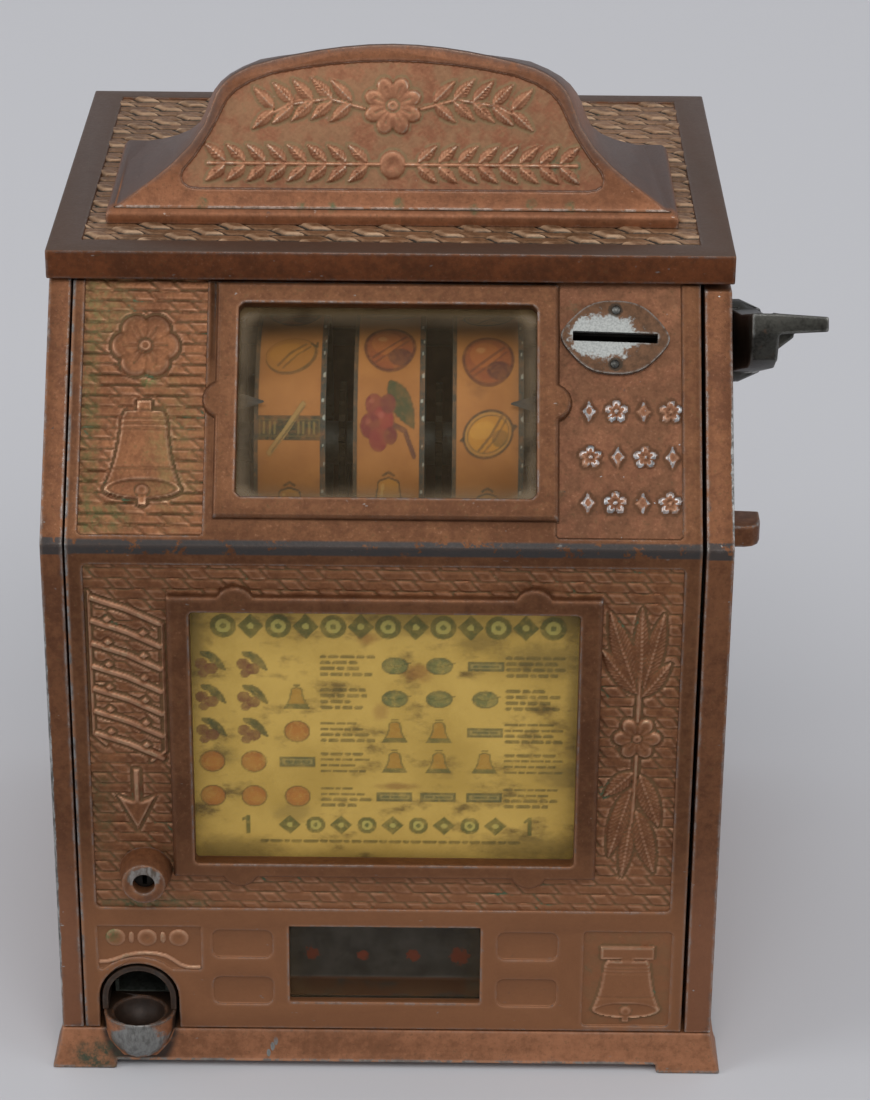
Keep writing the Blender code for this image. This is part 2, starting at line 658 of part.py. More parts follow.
def build_base(case):
    """Flared base casting with four feet, open below, and the gum cup in front."""
    def level(share):
        height_share, flare_share = share
        side = HALF_CASE + BASE_SIDE_FLARE * flare_share
        front = -BASE_FRONT_FLARE * flare_share
        rear = CASE_DEPTH + BASE_FRONT_FLARE * flare_share
        height = BASE_HEIGHT * height_share
        return [Vector((x, y, height)) for x, y in rectangle(-side, side, front, rear)]

    body = bmesh.new()
    loft(body, [level(share) for share in BASE_FLARE_SHARES])
    base = make("base_casting", body, "copper_paint", case)

    nose = bmesh.new()
    half = CUP_WIDTH / 2
    rings = []
    for height_share, size_share in CUP_RING_SHARES:
        height = CUP_UNDERSIDE + (CUP_LIP_HEIGHT - CUP_UNDERSIDE) * height_share
        width = half * size_share
        reach = (CUP_REACH + CUP_SPRING) * size_share
        half_round = arc((0.0, 0.0), 1.0, 180.0, 360.0, SMALL_SEGMENTS)
        plan = [(width * x, CUP_SPRING + reach * y) for x, y in half_round]
        plan += [(width, CUP_BACK), (-width, CUP_BACK)]
        rings.append([Vector((CUP_CENTRE_X + x, y, height)) for x, y in plan])
    loft(nose, rings)
    combine(base, nose, "cup", case, "UNION")

    hollow = bmesh.new()
    side, corner = HALF_CASE - BASE_SKIRT, FOOT_CORNER
    front, rear = BASE_SKIRT, CASE_DEPTH - BASE_SKIRT
    outline = [(-side + corner, front), (side - corner, front), (side, front + corner),
               (side, rear - corner), (side - corner, rear), (-side + corner, rear),
               (-side, rear - corner), (-side, front + corner)]
    slab(hollow, PLAN, outline, -OVERRUN, BASE_HEIGHT - BASE_SKIN)
    combine(base, hollow, "underside", case)

    between = bmesh.new()
    out_x, out_front = BASE_HALF_WIDTH + OVERRUN, -BASE_FRONT_FLARE - OVERRUN
    out_rear = CASE_DEPTH + BASE_FRONT_FLARE + OVERRUN
    in_x = BASE_HALF_WIDTH - FOOT_LENGTH
    in_front = FOOT_LENGTH - BASE_FRONT_FLARE
    in_rear = CASE_DEPTH + BASE_FRONT_FLARE - FOOT_LENGTH
    cross = [(-in_x, out_front), (in_x, out_front), (in_x, in_front), (out_x, in_front),
             (out_x, in_rear), (in_x, in_rear), (in_x, out_rear), (-in_x, out_rear),
             (-in_x, in_rear), (-out_x, in_rear), (-out_x, in_front), (-in_x, in_front)]
    slab(between, PLAN, cross, -OVERRUN, FOOT_DROP)
    combine(base, between, "foot_relief", case)

    bowl = bmesh.new()
    place = Matrix.Translation((CUP_CENTRE_X, 0.0, CUP_LIP_HEIGHT + BOWL_RISE))
    bmesh.ops.create_uvsphere(bowl, u_segments=SMALL_SEGMENTS, v_segments=SMALL_SEGMENTS // 2,
                              radius=BOWL_RADIUS, matrix=place)
    combine(base, bowl, "bowl", case)


def build_side(case, name, sign, edge_width, top):
    """Side casting: a wall with a stiff edge all round, flush outside."""
    outer, inner = HALF_CASE, HALF_CASE - edge_width
    body = bmesh.new()
    slab(body, SIDE, case_outline(top), sign * outer, sign * inner)
    side = make(name, body, "copper_paint", case)

    low, high = BASE_HEIGHT + SEAT_GAP + END_EDGE_WIDTH, top - END_EDGE_WIDTH
    pocket = bmesh.new()
    outline = front_offset_outline(EDGE_DEPTH, low, high)
    rear = CASE_DEPTH - REAR_EDGE_WIDTH
    outline += [(rear, high), (rear, low)]
    slab(pocket, SIDE, outline, sign * (outer - WALL), sign * (inner - OVERRUN))
    combine(side, pocket, "pocket", case)
    return side


def lever_point(along, above):
    """Place (y, z) in the lever's own directions, from its axis, at rest."""
    rise = math.radians(LEVER_RISE)
    return (LEVER_AXIS_Y - along * math.cos(rise) + above * math.sin(rise),
            LEVER_AXIS_Z + along * math.sin(rise) + above * math.cos(rise))


def lug_top_corner():
    """Where the arm's underside comes to rest on the lug at full travel."""
    along_share, above_share = LEVER_ARM_OUTLINE_SHARES[0]
    along, above = LEVER_LENGTH * along_share, LEVER_ARM_BOTTOM * above_share
    angle = math.radians(LEVER_RISE - LEVER_TRAVEL) + math.atan2(above, along)
    reach = math.hypot(along, above)
    return (LEVER_AXIS_Y - reach * math.cos(angle),
            LEVER_AXIS_Z + reach * math.sin(angle) - LUG_CONTACT_GAP)


def build_right_side(case):
    """Right side casting with the lever bush hole and the lug that stops the lever."""
    top = LID_UNDERSIDE - SEAT_GAP - RIGHT_TOP_DROP
    side = build_side(case, "right_side_casting", 1, RIGHT_EDGE_WIDTH, top)
    boss = bmesh.new()
    axis = at(SIDE, LEVER_AXIS_Y, LEVER_AXIS_Z)
    bush_radius = LEVER_SHAFT_RADIUS + RUNNING_GAP + LEVER_BUSH_WALL
    rod(boss, axis, bush_radius + LEVER_BUSH_WALL, HALF_CASE - RIGHT_EDGE_WIDTH, HALF_CASE - WALL / 2,
        ROUND_SEGMENTS)
    combine(side, boss, "bush_boss", case, "UNION")

    lug = bmesh.new()
    contact_y, top = lug_top_corner()
    front, back = contact_y - LUG_DEPTH / 2, contact_y + LUG_DEPTH / 2
    outer = HALF_CASE + LUG_REACH
    outline = [(HALF_CASE - WALL / 2, front), (outer - LUG_CORNER, front)]
    outline += arc((outer - LUG_CORNER, front + LUG_CORNER), LUG_CORNER, 270.0, 360.0, CORNER_STEPS)[1:]
    outline += [(outer, back - LUG_RIDGE), (HALF_CASE - WALL / 2, back)]
    slab(lug, PLAN, outline, top - LUG_HEIGHT, top)
    combine(side, lug, "stop_lug", case, "UNION")

    hole = bmesh.new()
    rod(hole, axis, bush_radius + SEAT_GAP, HALF_CASE - RIGHT_EDGE_WIDTH - OVERRUN, HALF_CASE + OVERRUN,
        ROUND_SEGMENTS)
    combine(side, hole, "bush_hole", case)

    bush = bmesh.new()
    start, end = HALF_CASE - RIGHT_EDGE_WIDTH - LEVER_BUSH_LIP, HALF_CASE + LEVER_HUB_GAP / 2
    bore = LEVER_SHAFT_RADIUS + RUNNING_GAP
    lip = bush_radius + LEVER_BUSH_LIP
    seat = HALF_CASE - RIGHT_EDGE_WIDTH - SEAT_GAP
    turned(bush, axis, [(bore, start), (lip, start), (lip, seat), (bush_radius, seat), (bush_radius, end),
                        (bore, end)],
           ROUND_SEGMENTS, hollow=True)
    make("lever_bush", bush, "brass", case, smooth=True)

    cover = bmesh.new()
    half_width, half_height = COVER_PLATE_WIDTH / 2, COVER_PLATE_HEIGHT / 2
    outline = rounded(COVER_PLATE_Y - half_width, COVER_PLATE_Y + half_width,
                      COVER_PLATE_Z - half_height, COVER_PLATE_Z + half_height, half_width / 2)
    near = HALF_CASE + SEAT_GAP
    slab(cover, SIDE, outline, near, near + COVER_PLATE_THICKNESS)
    make("side_cover_plate", cover, "dark_copper_paint", case)


def build_back(case):
    """Back plate between the two side castings."""
    plate = bmesh.new()
    left, right = -HALF_CASE + LEFT_EDGE_WIDTH + SEAT_GAP, HALF_CASE - RIGHT_EDGE_WIDTH - SEAT_GAP
    outline = rectangle(left, right, BASE_HEIGHT + SEAT_GAP, LID_UNDERSIDE - SEAT_GAP)
    slab(plate, FRONT, outline, CASE_DEPTH - BACK_THICKNESS, CASE_DEPTH)
    make("back_plate", plate, "copper_paint", case)


def build_lid(case):
    """Lid casting with a sunk panel on top and a pocket below."""
    half = LID_WIDTH / 2
    top = LID_UNDERSIDE + LID_THICKNESS
    body = bmesh.new()
    slab(body, PLAN, rectangle(-half, half, LID_FRONT, LID_REAR), LID_UNDERSIDE, top)
    lid = make("lid_casting", body, "dark_copper_paint", case)

    sunk = bmesh.new()
    outline = rectangle(-half + LID_RIM_SIDE, half - LID_RIM_SIDE, LID_FRONT + LID_RIM_FRONT,
                        LID_REAR - LID_RIM_REAR)
    slab(sunk, PLAN, outline, top - LID_RECESS, top + OVERRUN)
    margin = LID_POCKET_MARGIN
    outline = rectangle(-half + margin, half - margin, LID_FRONT + margin, LID_REAR - margin)
    slab(sunk, PLAN, outline, LID_UNDERSIDE - OVERRUN, top - LID_RECESS - LID_SKIN)
    combine(lid, sunk, "sunk_panel_and_pocket", case)


def marquee_outline(pieces, half_width, low, high):
    """Front view of the marquee: flared feet, round shoulders and a long crown."""
    right = [(half_width * across, low + (high - low) * up) for across, up in curve_shares(pieces)]
    left = [(-across, up) for across, up in reversed(right[:-1])]
    return right + left


def build_marquee(case):
    """Marquee casting that stands on the lid, higher in front than behind."""
    floor = LID_UNDERSIDE + LID_THICKNESS - LID_RECESS + SEAT_GAP
    plinth_top = floor + MARQUEE_PLINTH_HEIGHT
    top = LID_UNDERSIDE + LID_THICKNESS + MARQUEE_HEIGHT
    half = MARQUEE_PLINTH_WIDTH / 2
    rear = MARQUEE_FRONT + MARQUEE_PLINTH_DEPTH
    plinth = bmesh.new()
    inset = MARQUEE_STEP
    loft(plinth, [
        [Vector((x, y, floor)) for x, y in rectangle(-half, half, MARQUEE_FRONT, rear)],
        [Vector((x, y, plinth_top - inset)) for x, y in rectangle(-half, half, MARQUEE_FRONT, rear)],
        [Vector((x, y, plinth_top))
         for x, y in rectangle(inset - half, half - inset, MARQUEE_FRONT + inset, rear)],
    ])
    marquee = make("marquee_casting", plinth, "copper_paint", case)

    crest = bmesh.new()
    low = plinth_top - inset
    width = half - inset
    lean = math.tan(math.radians(MARQUEE_LEAN))
    front_y = MARQUEE_FRONT + inset
    rear_high = low + (top - low) * MARQUEE_REAR_HEIGHT_SHARE
    outline = marquee_outline(MARQUEE_FRONT_SHARES, width, low, top)
    front = [Vector((x, front_y + (z - low) * lean, z)) for x, z in outline]
    outline = marquee_outline(MARQUEE_REAR_SHARES, width, low, rear_high)
    back = [Vector((x, rear - inset, z)) for x, z in outline]
    loft(crest, [front, back])
    combine(marquee, crest, "crest", case, "UNION")

    panel = bmesh.new()
    shares = curve_shares(PANEL_SHARES, CORNER_STEPS + 2)
    slant = (top - low) / math.cos(math.radians(MARQUEE_LEAN))
    right = [(width * across, slant * up) for across, up in shares]
    outline = right + [(-across, up) for across, up in reversed(right[1:-1])]
    sine, cosine = math.sin(math.radians(MARQUEE_LEAN)), math.cos(math.radians(MARQUEE_LEAN))
    face = plane_from((1, 0, 0), (0, sine, cosine), (0, cosine, -sine), (0.0, front_y, low))
    slab(panel, face, outline, -OVERRUN, PANEL_RECESS)
    combine(marquee, panel, "sunk_panel", case)


def build_throat(case):
    """Arched sleeve behind the door's arch, through which the gum ball rolls."""
    outer = ARCH_RADIUS - THROAT_GAP
    inner = outer - THROAT_WALL
    foot = CUP_LIP_HEIGHT + SEAT_GAP
    outline = arc((CUP_CENTRE_X, ARCH_SPRING_HEIGHT), outer, 0.0, 180.0, SMALL_SEGMENTS)
    outline = [(CUP_CENTRE_X + outer, foot)] + outline + [(CUP_CENTRE_X - outer, foot)]
    inside = arc((CUP_CENTRE_X, ARCH_SPRING_HEIGHT), inner, 180.0, 0.0, SMALL_SEGMENTS)
    outline += [(CUP_CENTRE_X - inner, foot)] + inside + [(CUP_CENTRE_X + inner, foot)]
    sleeve = bmesh.new()
    slab(sleeve, FRONT, outline, SEAT_GAP, THROAT_LENGTH)
    make("gum_throat", sleeve, "copper_paint", case)


def window_rectangle(margin=0.0):
    """Left, right, low and high of the reel window on the slope, made larger by a margin."""
    half_width, half_height = WINDOW_WIDTH / 2 + margin, WINDOW_HEIGHT / 2 + margin
    return (WINDOW_CENTRE_X - half_width, WINDOW_CENTRE_X + half_width,
            WINDOW_CENTRE_S - half_height, WINDOW_CENTRE_S + half_height)


def card_rectangle(side_margin=0.0, end_margin=0.0):
    """Left, right, low and high of the card opening, made larger by margins."""
    half_width, half_height = CARD_WIDTH / 2 + side_margin, CARD_HEIGHT / 2 + end_margin
    return (CARD_CENTRE_X - half_width, CARD_CENTRE_X + half_width,
            CARD_CENTRE_Z - half_height, CARD_CENTRE_Z + half_height)


def coin_window_rectangle(margin=0.0):
    """Left, right, low and high of the coin window, made larger by a margin."""
    half_width, half_height = COIN_WINDOW_WIDTH / 2 + margin, COIN_WINDOW_HEIGHT / 2 + margin
    return (COIN_WINDOW_CENTRE_X - half_width, COIN_WINDOW_CENTRE_X + half_width,
            COIN_WINDOW_CENTRE_Z - half_height, COIN_WINDOW_CENTRE_Z + half_height)


def coin_plane():
    """Drawing plane of the coin plate, turned a little on the slope."""
    turn = Matrix.Rotation(math.radians(COIN_PLATE_TURN), 4, "Z")
    return at(SLOPE, COIN_PLATE_CENTRE_X, COIN_PLATE_CENTRE_S) @ turn


def raised_frame(mesh_tool, plane, outline):
    """Raised border on the door, with its front edge bevelled."""
    front, _ = slab(mesh_tool, plane, outline, -FRAME_PROUD, DOOR_THICKNESS / 2)
    edges = {edge for corner in front for edge in corner.link_edges
             if edge.verts[0] in front and edge.verts[1] in front}
    bmesh.ops.bevel(mesh_tool, geom=list(edges), offset=FRAME_BEVEL, segments=1, affect="EDGES", profile=0.5)


def door_recesses(mesh_tool):
    """Sunk panels of the door front, some for ornament and some plain."""
    lower = rounded(PATTERN_LEFT, PATTERN_RIGHT, PATTERN_LOW, PATTERN_HIGH, RECESS_CORNER, 1)
    slab(mesh_tool, FRONT, lower, -OVERRUN, RECESS_DEPTH)
    for left, right in ((ORNAMENT_RECESS_LEFT, ORNAMENT_RECESS_RIGHT),
                        (COIN_RECESS_LEFT, COIN_RECESS_RIGHT)):
        upper = rounded(left, right, UPPER_RECESS_LOW_S, UPPER_RECESS_HIGH_S, RECESS_CORNER, 1)
        depth = RECESS_DEPTH if left < 0.0 else SHALLOW_RECESS
        slab(mesh_tool, SLOPE, upper, -OVERRUN, depth)
    bell = rounded(BELL_RECESS_LEFT, BELL_RECESS_RIGHT, BELL_RECESS_LOW, BELL_RECESS_HIGH, RECESS_CORNER, 1)
    slab(mesh_tool, FRONT, bell, -OVERRUN, SHALLOW_RECESS)
    for across in (PAD_LEFT_X, PAD_RIGHT_X):
        for up in (PAD_LOW_Z, PAD_HIGH_Z):
            pad = rounded(across - PAD_WIDTH / 2, across + PAD_WIDTH / 2,
                          up - PAD_HEIGHT / 2, up + PAD_HEIGHT / 2, PAD_CORNER)
            slab(mesh_tool, FRONT, pad, -OVERRUN, SHALLOW_RECESS)
    reach = ARCH_RADIUS + SIGN_ARCH_MARGIN
    meets = math.degrees(math.asin((SIGN_RECESS_LOW - ARCH_SPRING_HEIGHT) / reach))
    rim = arc((CUP_CENTRE_X, ARCH_SPRING_HEIGHT), reach, 180.0 - meets, meets, EAR_STEPS)
    sign = [(SIGN_RECESS_LEFT, SIGN_RECESS_LOW)] + rim
    sign += [(SIGN_RECESS_RIGHT, SIGN_RECESS_LOW), (SIGN_RECESS_RIGHT, SIGN_RECESS_HIGH),
             (SIGN_RECESS_LEFT, SIGN_RECESS_HIGH)]
    slab(mesh_tool, FRONT, sign, -OVERRUN, SHALLOW_RECESS)


def door_openings(mesh_tool):
    """Windows, gum arch, coin slot, lock hole and hinge bores of the door."""
    through = DOOR_THICKNESS + OVERRUN / 2
    slab(mesh_tool, SLOPE, rounded(*window_rectangle(), WINDOW_CORNER, 1), -OVERRUN, through)
    slab(mesh_tool, FRONT, rounded(*card_rectangle(), CARD_CORNER, 1), -OVERRUN, through)
    slab(mesh_tool, FRONT, rectangle(*coin_window_rectangle()), -OVERRUN, through)
    arch = arc((CUP_CENTRE_X, ARCH_SPRING_HEIGHT), ARCH_RADIUS, 0.0, 180.0, SMALL_SEGMENTS)
    low = DOOR_LOW - OVERRUN
    arch = [(CUP_CENTRE_X + ARCH_RADIUS, low)] + arch + [(CUP_CENTRE_X - ARCH_RADIUS, low)]
    slab(mesh_tool, FRONT, arch, -OVERRUN, through)
    half_length = COIN_SLOT_LENGTH / 2 + COIN_SLOT_CLEARANCE
    half_height = COIN_SLOT_HEIGHT / 2 + COIN_SLOT_CLEARANCE
    slot = rectangle(-half_length, half_length, -half_height, half_height)
    slab(mesh_tool, coin_plane(), slot, -OVERRUN, through)
    lock = at(FRONT, LOCK_X, LOCK_Z)
    rod(mesh_tool, lock, LOCK_BARREL_RADIUS + SEAT_GAP, -OVERRUN, DOOR_RIB_DEPTH + OVERRUN)
    for foot in (HINGE_LOW_Z, HINGE_HIGH_Z):
        low = foot + HINGE_ARM_HEIGHT
        rod(mesh_tool, at(PLAN, HINGE_X, HINGE_DEPTH), HINGE_PIN_RADIUS + RUNNING_GAP,
            low - OVERRUN / 2, low + HINGE_PIN_LENGTH + SEAT_GAP)


def build_door_casting(door):
    """Bent door casting with raised frames, sunk panels, windows, a stiffening rib and knuckles."""
    top_run = (DOOR_HIGH - KNEE_HEIGHT) * math.tan(SLOPE_ANGLE)
    outline = [(0.0, DOOR_LOW), (0.0, KNEE_HEIGHT), (top_run, DOOR_HIGH)]
    outline += reversed(front_offset_outline(DOOR_THICKNESS, DOOR_LOW, DOOR_HIGH))
    body = bmesh.new()
    left_end, _ = slab(body, SIDE, outline, DOOR_LEFT, DOOR_RIGHT)
    for corner in left_end[3:]:
        corner.co.x += DOOR_DRAFT
    casting = make("door_casting", body, "copper_paint", door)

    recesses = bmesh.new()
    door_recesses(recesses)
    combine(casting, recesses, "recesses", door)

    frames = bmesh.new()
    window_frame = eared(*window_rectangle(WINDOW_FRAME_BORDER), WINDOW_EAR_RISE,
                         on_sides=(WINDOW_CENTRE_S,))
    raised_frame(frames, SLOPE, window_frame)
    ears = (CARD_CENTRE_X - CARD_EAR_OFFSET, CARD_CENTRE_X + CARD_EAR_OFFSET)
    card_frame = eared(*card_rectangle(CARD_FRAME_BORDER_SIDE, CARD_FRAME_BORDER_END), CARD_EAR_RISE,
                       on_ends=ears)
    raised_frame(frames, FRONT, card_frame)
    combine(casting, frames, "frames", door, "UNION")

    stiffening = bmesh.new()
    rib = front_offset_outline(DOOR_THICKNESS / 2, DOOR_LOW, DOOR_HIGH)
    rib += reversed(front_offset_outline(DOOR_RIB_DEPTH, DOOR_LOW, DOOR_HIGH))
    rib_left = DOOR_LEFT + DOOR_RIB_INSET
    slab(stiffening, SIDE, rib, rib_left, rib_left - DOOR_RIB_WIDTH)
    half = KNUCKLE_HALF_WIDTH
    outer = arc((HINGE_X, HINGE_DEPTH), half, 0.0, 180.0, SMALL_SEGMENTS // 2)
    wrap = [(HINGE_X + half, DOOR_THICKNESS / 2)] + outer + [(HINGE_X - half, DOOR_THICKNESS / 2)]
    for foot in (HINGE_LOW_Z, HINGE_HIGH_Z):
        low = foot + HINGE_ARM_HEIGHT + SEAT_GAP
        slab(stiffening, PLAN, wrap, low, low + KNUCKLE_HEIGHT)
    combine(casting, stiffening, "rib_and_knuckles", door, "UNION")

    openings = bmesh.new()
    door_openings(openings)
    combine(casting, openings, "openings", door)


def build_panes(door):
    """Glass behind each window, the award card and the two payline pointers."""
    for name, plane, outline in (
        ("reel_window_glass", SLOPE, rectangle(*window_rectangle(PANE_LAP))),
        ("card_glass", FRONT, rectangle(*card_rectangle(PANE_LAP, PANE_LAP))),
        ("coin_window_glass", FRONT, rectangle(*coin_window_rectangle(PANE_LAP))),
    ):
        pane = bmesh.new()
        slab(pane, plane, outline, PANE_NEAR, PANE_FAR)
        make(name, pane, "glass", door)
    card = bmesh.new()
    near = PANE_FAR + SEAT_GAP
    slab(card, FRONT, rectangle(*card_rectangle(PANE_LAP, PANE_LAP)), near, near + CARD_THICKNESS)
    make("award_card", card, "card_paper", door)

    left, right, _, _ = window_rectangle()
    for name, root, way in (("left_pointer", left, 1), ("right_pointer", right, -1)):
        pointer = bmesh.new()
        half = POINTER_HALF_HEIGHT
        tip, tab = root + way * POINTER_LENGTH, root - way * POINTER_TAB
        outline = [(tab, POINTER_S - half), (root, POINTER_S - half), (tip, POINTER_S),
                   (root, POINTER_S + half), (tab, POINTER_S + half)]
        slab(pointer, SLOPE, outline, near, near + POINTER_THICKNESS)
        make(name, pointer, "dark_steel", door)


def build_coin_entry(door):
    """Coin plate on the slope and the guide behind its slot."""
    plane = coin_plane()
    half_length, half_height = COIN_SLOT_LENGTH / 2, COIN_SLOT_HEIGHT / 2
    wide, tall = COIN_PLATE_HALF_WIDTH, COIN_PLATE_HALF_HEIGHT
    radius = (wide * wide + tall * tall) / (2 * tall)
    sweep = math.degrees(math.asin(wide / radius))
    outline = arc((0.0, tall - radius), radius, 90.0 - sweep, 90.0 + sweep, SMALL_SEGMENTS // 2)
    outline += arc((0.0, radius - tall), radius, 270.0 - sweep, 270.0 + sweep, SMALL_SEGMENTS // 2)[1:-1]
    floor = SHALLOW_RECESS - SEAT_GAP
    lens = bmesh.new()
    slab(lens, plane, outline, floor - COIN_PLATE_THICKNESS, floor)
    plate = make("coin_entry_plate", lens, "bright_nickel", door)
    slot = bmesh.new()
    slab(slot, plane, rectangle(-half_length, half_length, -half_height, half_height), -OVERRUN, OVERRUN)
    combine(plate, slot, "slot", door)

    guide = bmesh.new()
    near, wall = DOOR_THICKNESS + SEAT_GAP, COIN_GUIDE_WALL
    outer = rectangle(-half_length - wall, half_length + wall, -half_height - wall, half_height + wall)
    slab(guide, plane, outer, near, near + COIN_GUIDE_DEPTH)
    block = make("coin_guide", guide, "zinc_sheet", door)
    slot = bmesh.new()
    slab(slot, plane, rectangle(-half_length, half_length, -half_height, half_height),
         near - OVERRUN / 2, near + COIN_GUIDE_DEPTH + OVERRUN / 2)
    combine(block, slot, "slot", door)


def build_lock(door, lock):
    """Tapered lock barrel in the door, with a plug and a cam that turn together."""
    axis = at(FRONT, LOCK_X, LOCK_Z)
    seat = RECESS_DEPTH - SEAT_GAP
    profile = [(LOCK_BORE_RADIUS, -LOCK_BOSS_REACH), (LOCK_BOSS_FACE_RADIUS, -LOCK_BOSS_REACH),
               (LOCK_BOSS_BASE_RADIUS, seat), (LOCK_BARREL_RADIUS, seat),
               (LOCK_BARREL_RADIUS, LOCK_BARREL_REAR), (LOCK_BORE_RADIUS, LOCK_BARREL_REAR)]
    barrel = bmesh.new()
    turned(barrel, axis, profile, ROUND_SEGMENTS, hollow=True)
    make("lock_barrel", barrel, "copper_paint", door, smooth=True)

    face = LOCK_PLUG_SET_BACK - LOCK_BOSS_REACH
    plug = bmesh.new()
    rod(plug, axis, LOCK_BORE_RADIUS - RUNNING_GAP, face, LOCK_BARREL_REAR, ROUND_SEGMENTS)
    core = make("lock_plug", plug, "dark_steel", lock, smooth=True)
    keyway = bmesh.new()
    half_width, half_height = LOCK_KEYWAY_WIDTH / 2, LOCK_KEYWAY_HEIGHT / 2
    slab(keyway, axis, rectangle(-half_width, half_width, -half_height, half_height),
         face - OVERRUN, face + LOCK_KEYWAY_DEPTH)
    combine(core, keyway, "keyway", lock)

    cam = bmesh.new()
    half = LOCK_CAM_WIDTH / 2
    outline = arc((LOCK_X, LOCK_Z), half, 0.0, 180.0, SMALL_SEGMENTS // 2)
    outline += [(LOCK_X - half, LOCK_Z - LOCK_CAM_LENGTH), (LOCK_X + half, LOCK_Z - LOCK_CAM_LENGTH)]
    near = LOCK_BARREL_REAR + SEAT_GAP
    slab(cam, FRONT, outline, near, near + LOCK_CAM_THICKNESS)
    make("lock_cam", cam, "zinc_sheet", lock)


def build_hinges(case):
    """Two hinge brackets with upright pins; the door lifts onto them."""
    wall = HALF_CASE - WALL - SEAT_GAP
    left, right = HINGE_X - HINGE_ARM_WIDTH / 2, HINGE_X + HINGE_PIN_RADIUS
    near = HINGE_DEPTH - HINGE_PIN_RADIUS
    bend = HINGE_ARM_REACH_BACK
    for name, foot in (("lower_hinge_bracket", HINGE_LOW_Z), ("upper_hinge_bracket", HINGE_HIGH_Z)):
        arm = bmesh.new()
        outline = [(left, near)] + arc((HINGE_X, HINGE_DEPTH), HINGE_PIN_RADIUS, 270.0, 360.0, CORNER_STEPS)
        far_bend = bend + HINGE_ARM_WIDTH
        outline += [(right, bend), (wall, bend), (wall, far_bend), (left, far_bend)]
        slab(arm, PLAN, outline, foot, foot + HINGE_ARM_HEIGHT)
        bracket = make(name, arm, "zinc_sheet", case)
        fittings = bmesh.new()
        half = HINGE_FOOT_HEIGHT / 2
        middle = foot + HINGE_ARM_HEIGHT / 2
        slab(fittings, SIDE,
             rectangle(bend - OVERRUN / 4, bend + HINGE_FOOT_LENGTH, middle - half, middle + half),
             wall - HINGE_FOOT_THICKNESS, wall)
        rod(fittings, at(PLAN, HINGE_X, HINGE_DEPTH), HINGE_PIN_RADIUS,
            foot + HINGE_ARM_HEIGHT / 2, foot + HINGE_ARM_HEIGHT + HINGE_PIN_LENGTH)
        combine(bracket, fittings, "foot_and_pin", case, "UNION")


def build_frame(case):
    """Floor plate, two frame plates and the tie rods between them."""
    side = HALF_CASE - WALL - FLOOR_PLATE_SIDE_GAP
    plate = bmesh.new()
    slab(plate, PLAN, rectangle(-side, side, FLOOR_PLATE_FRONT, FLOOR_PLATE_REAR), FLOOR_PLATE_LOW,
         FLOOR_PLATE_HIGH)
    make("mechanism_floor_plate", plate, "zinc_sheet", case)

    shoulder = FRAME_SHOULDER
    outline = [(FRAME_FRONT, MECHANISM_FLOOR), (FRAME_REAR, MECHANISM_FLOOR),
               (FRAME_REAR, FRAME_TOP - shoulder),
               (FRAME_REAR - shoulder / 2, FRAME_TOP), (FRAME_FRONT + shoulder / 2, FRAME_TOP),
               (FRAME_FRONT, FRAME_TOP - shoulder)]
    rods = [(FRAME_REAR - TIE_ROD_INSET, TIE_ROD_LOW_Z),
            (FRAME_REAR - TIE_ROD_INSET, TIE_ROD_HIGH_Z - shoulder),
            (FRAME_FRONT + TIE_ROD_INSET, TIE_ROD_LOW_Z + shoulder)]
    for name, sign in (("left_frame_plate", -1), ("right_frame_plate", 1)):
        near = sign * FRAME_HALF_SPACING
        far = sign * (FRAME_HALF_SPACING + FRAME_THICKNESS)
        body = bmesh.new()
        slab(body, SIDE, outline, near, far)
        sheet = make(name, body, "zinc_sheet", case)
        foot = bmesh.new()
        toe = sign * (FRAME_HALF_SPACING + FRAME_FOOT_WIDTH)
        slab(foot, PLAN, rectangle(min(near, toe), max(near, toe), FRAME_FRONT, FRAME_REAR),
             MECHANISM_FLOOR, MECHANISM_FLOOR + FRAME_THICKNESS)
        combine(sheet, foot, "foot", case, "UNION")
        holes = bmesh.new()
        start, end = sorted((near - sign * OVERRUN / 4, far + sign * OVERRUN / 4))
        for up in (FRAME_HOLE_LOW_Z, FRAME_HOLE_HIGH_Z):
            rod(holes, at(SIDE, FRAME_HOLE_Y, up), FRAME_HOLE_RADIUS, start, end)
        rod(holes, at(SIDE, REEL_CENTRE.y, REEL_CENTRE.z), REEL_SHAFT_RADIUS + SEAT_GAP, start, end)
        rod(holes, at(SIDE, STOP_SHAFT_Y, STOP_SHAFT_Z), STOP_SHAFT_RADIUS + SEAT_GAP, start, end)
        rod(holes, at(SIDE, LEVER_AXIS_Y, LEVER_AXIS_Z), LEVER_CROSS_RADIUS + RUNNING_GAP, start, end)
        if sign < 0:
            rod(holes, at(SIDE, GUM_AXIS_Y, GUM_AXIS_Z), GUM_SHAFT_RADIUS + RUNNING_GAP, start, end)
        combine(sheet, holes, "holes", case)
    inside = FRAME_HALF_SPACING - SEAT_GAP
    for name, place in zip(("lower_tie_rod", "upper_tie_rod", "front_tie_rod"), rods):
        bar = bmesh.new()
        rod(bar, at(SIDE, *place), TIE_ROD_RADIUS, -inside, inside)
        make(name, bar, "dark_steel", case, smooth=True)


def reel_places():
    """Middle x of each reel, from left to right."""
    return [REEL_MIDDLE_X + REEL_PITCH * step for step in (-1, 0, 1)]


def star_outline(centre, tip, root, teeth, tooth_shares, phase=0.0):
    """Toothed outline: each tooth takes four shares of its pitch, and phase turns it by a share."""
    points = []
    pitch = 2 * math.pi / teeth
    for tooth in range(teeth):
        for share, radius in zip(tooth_shares, (root, tip, tip, root)):
            angle = pitch * (tooth + share + phase)
            points.append((centre[0] + radius * math.cos(angle), centre[1] + radius * math.sin(angle)))
    return points


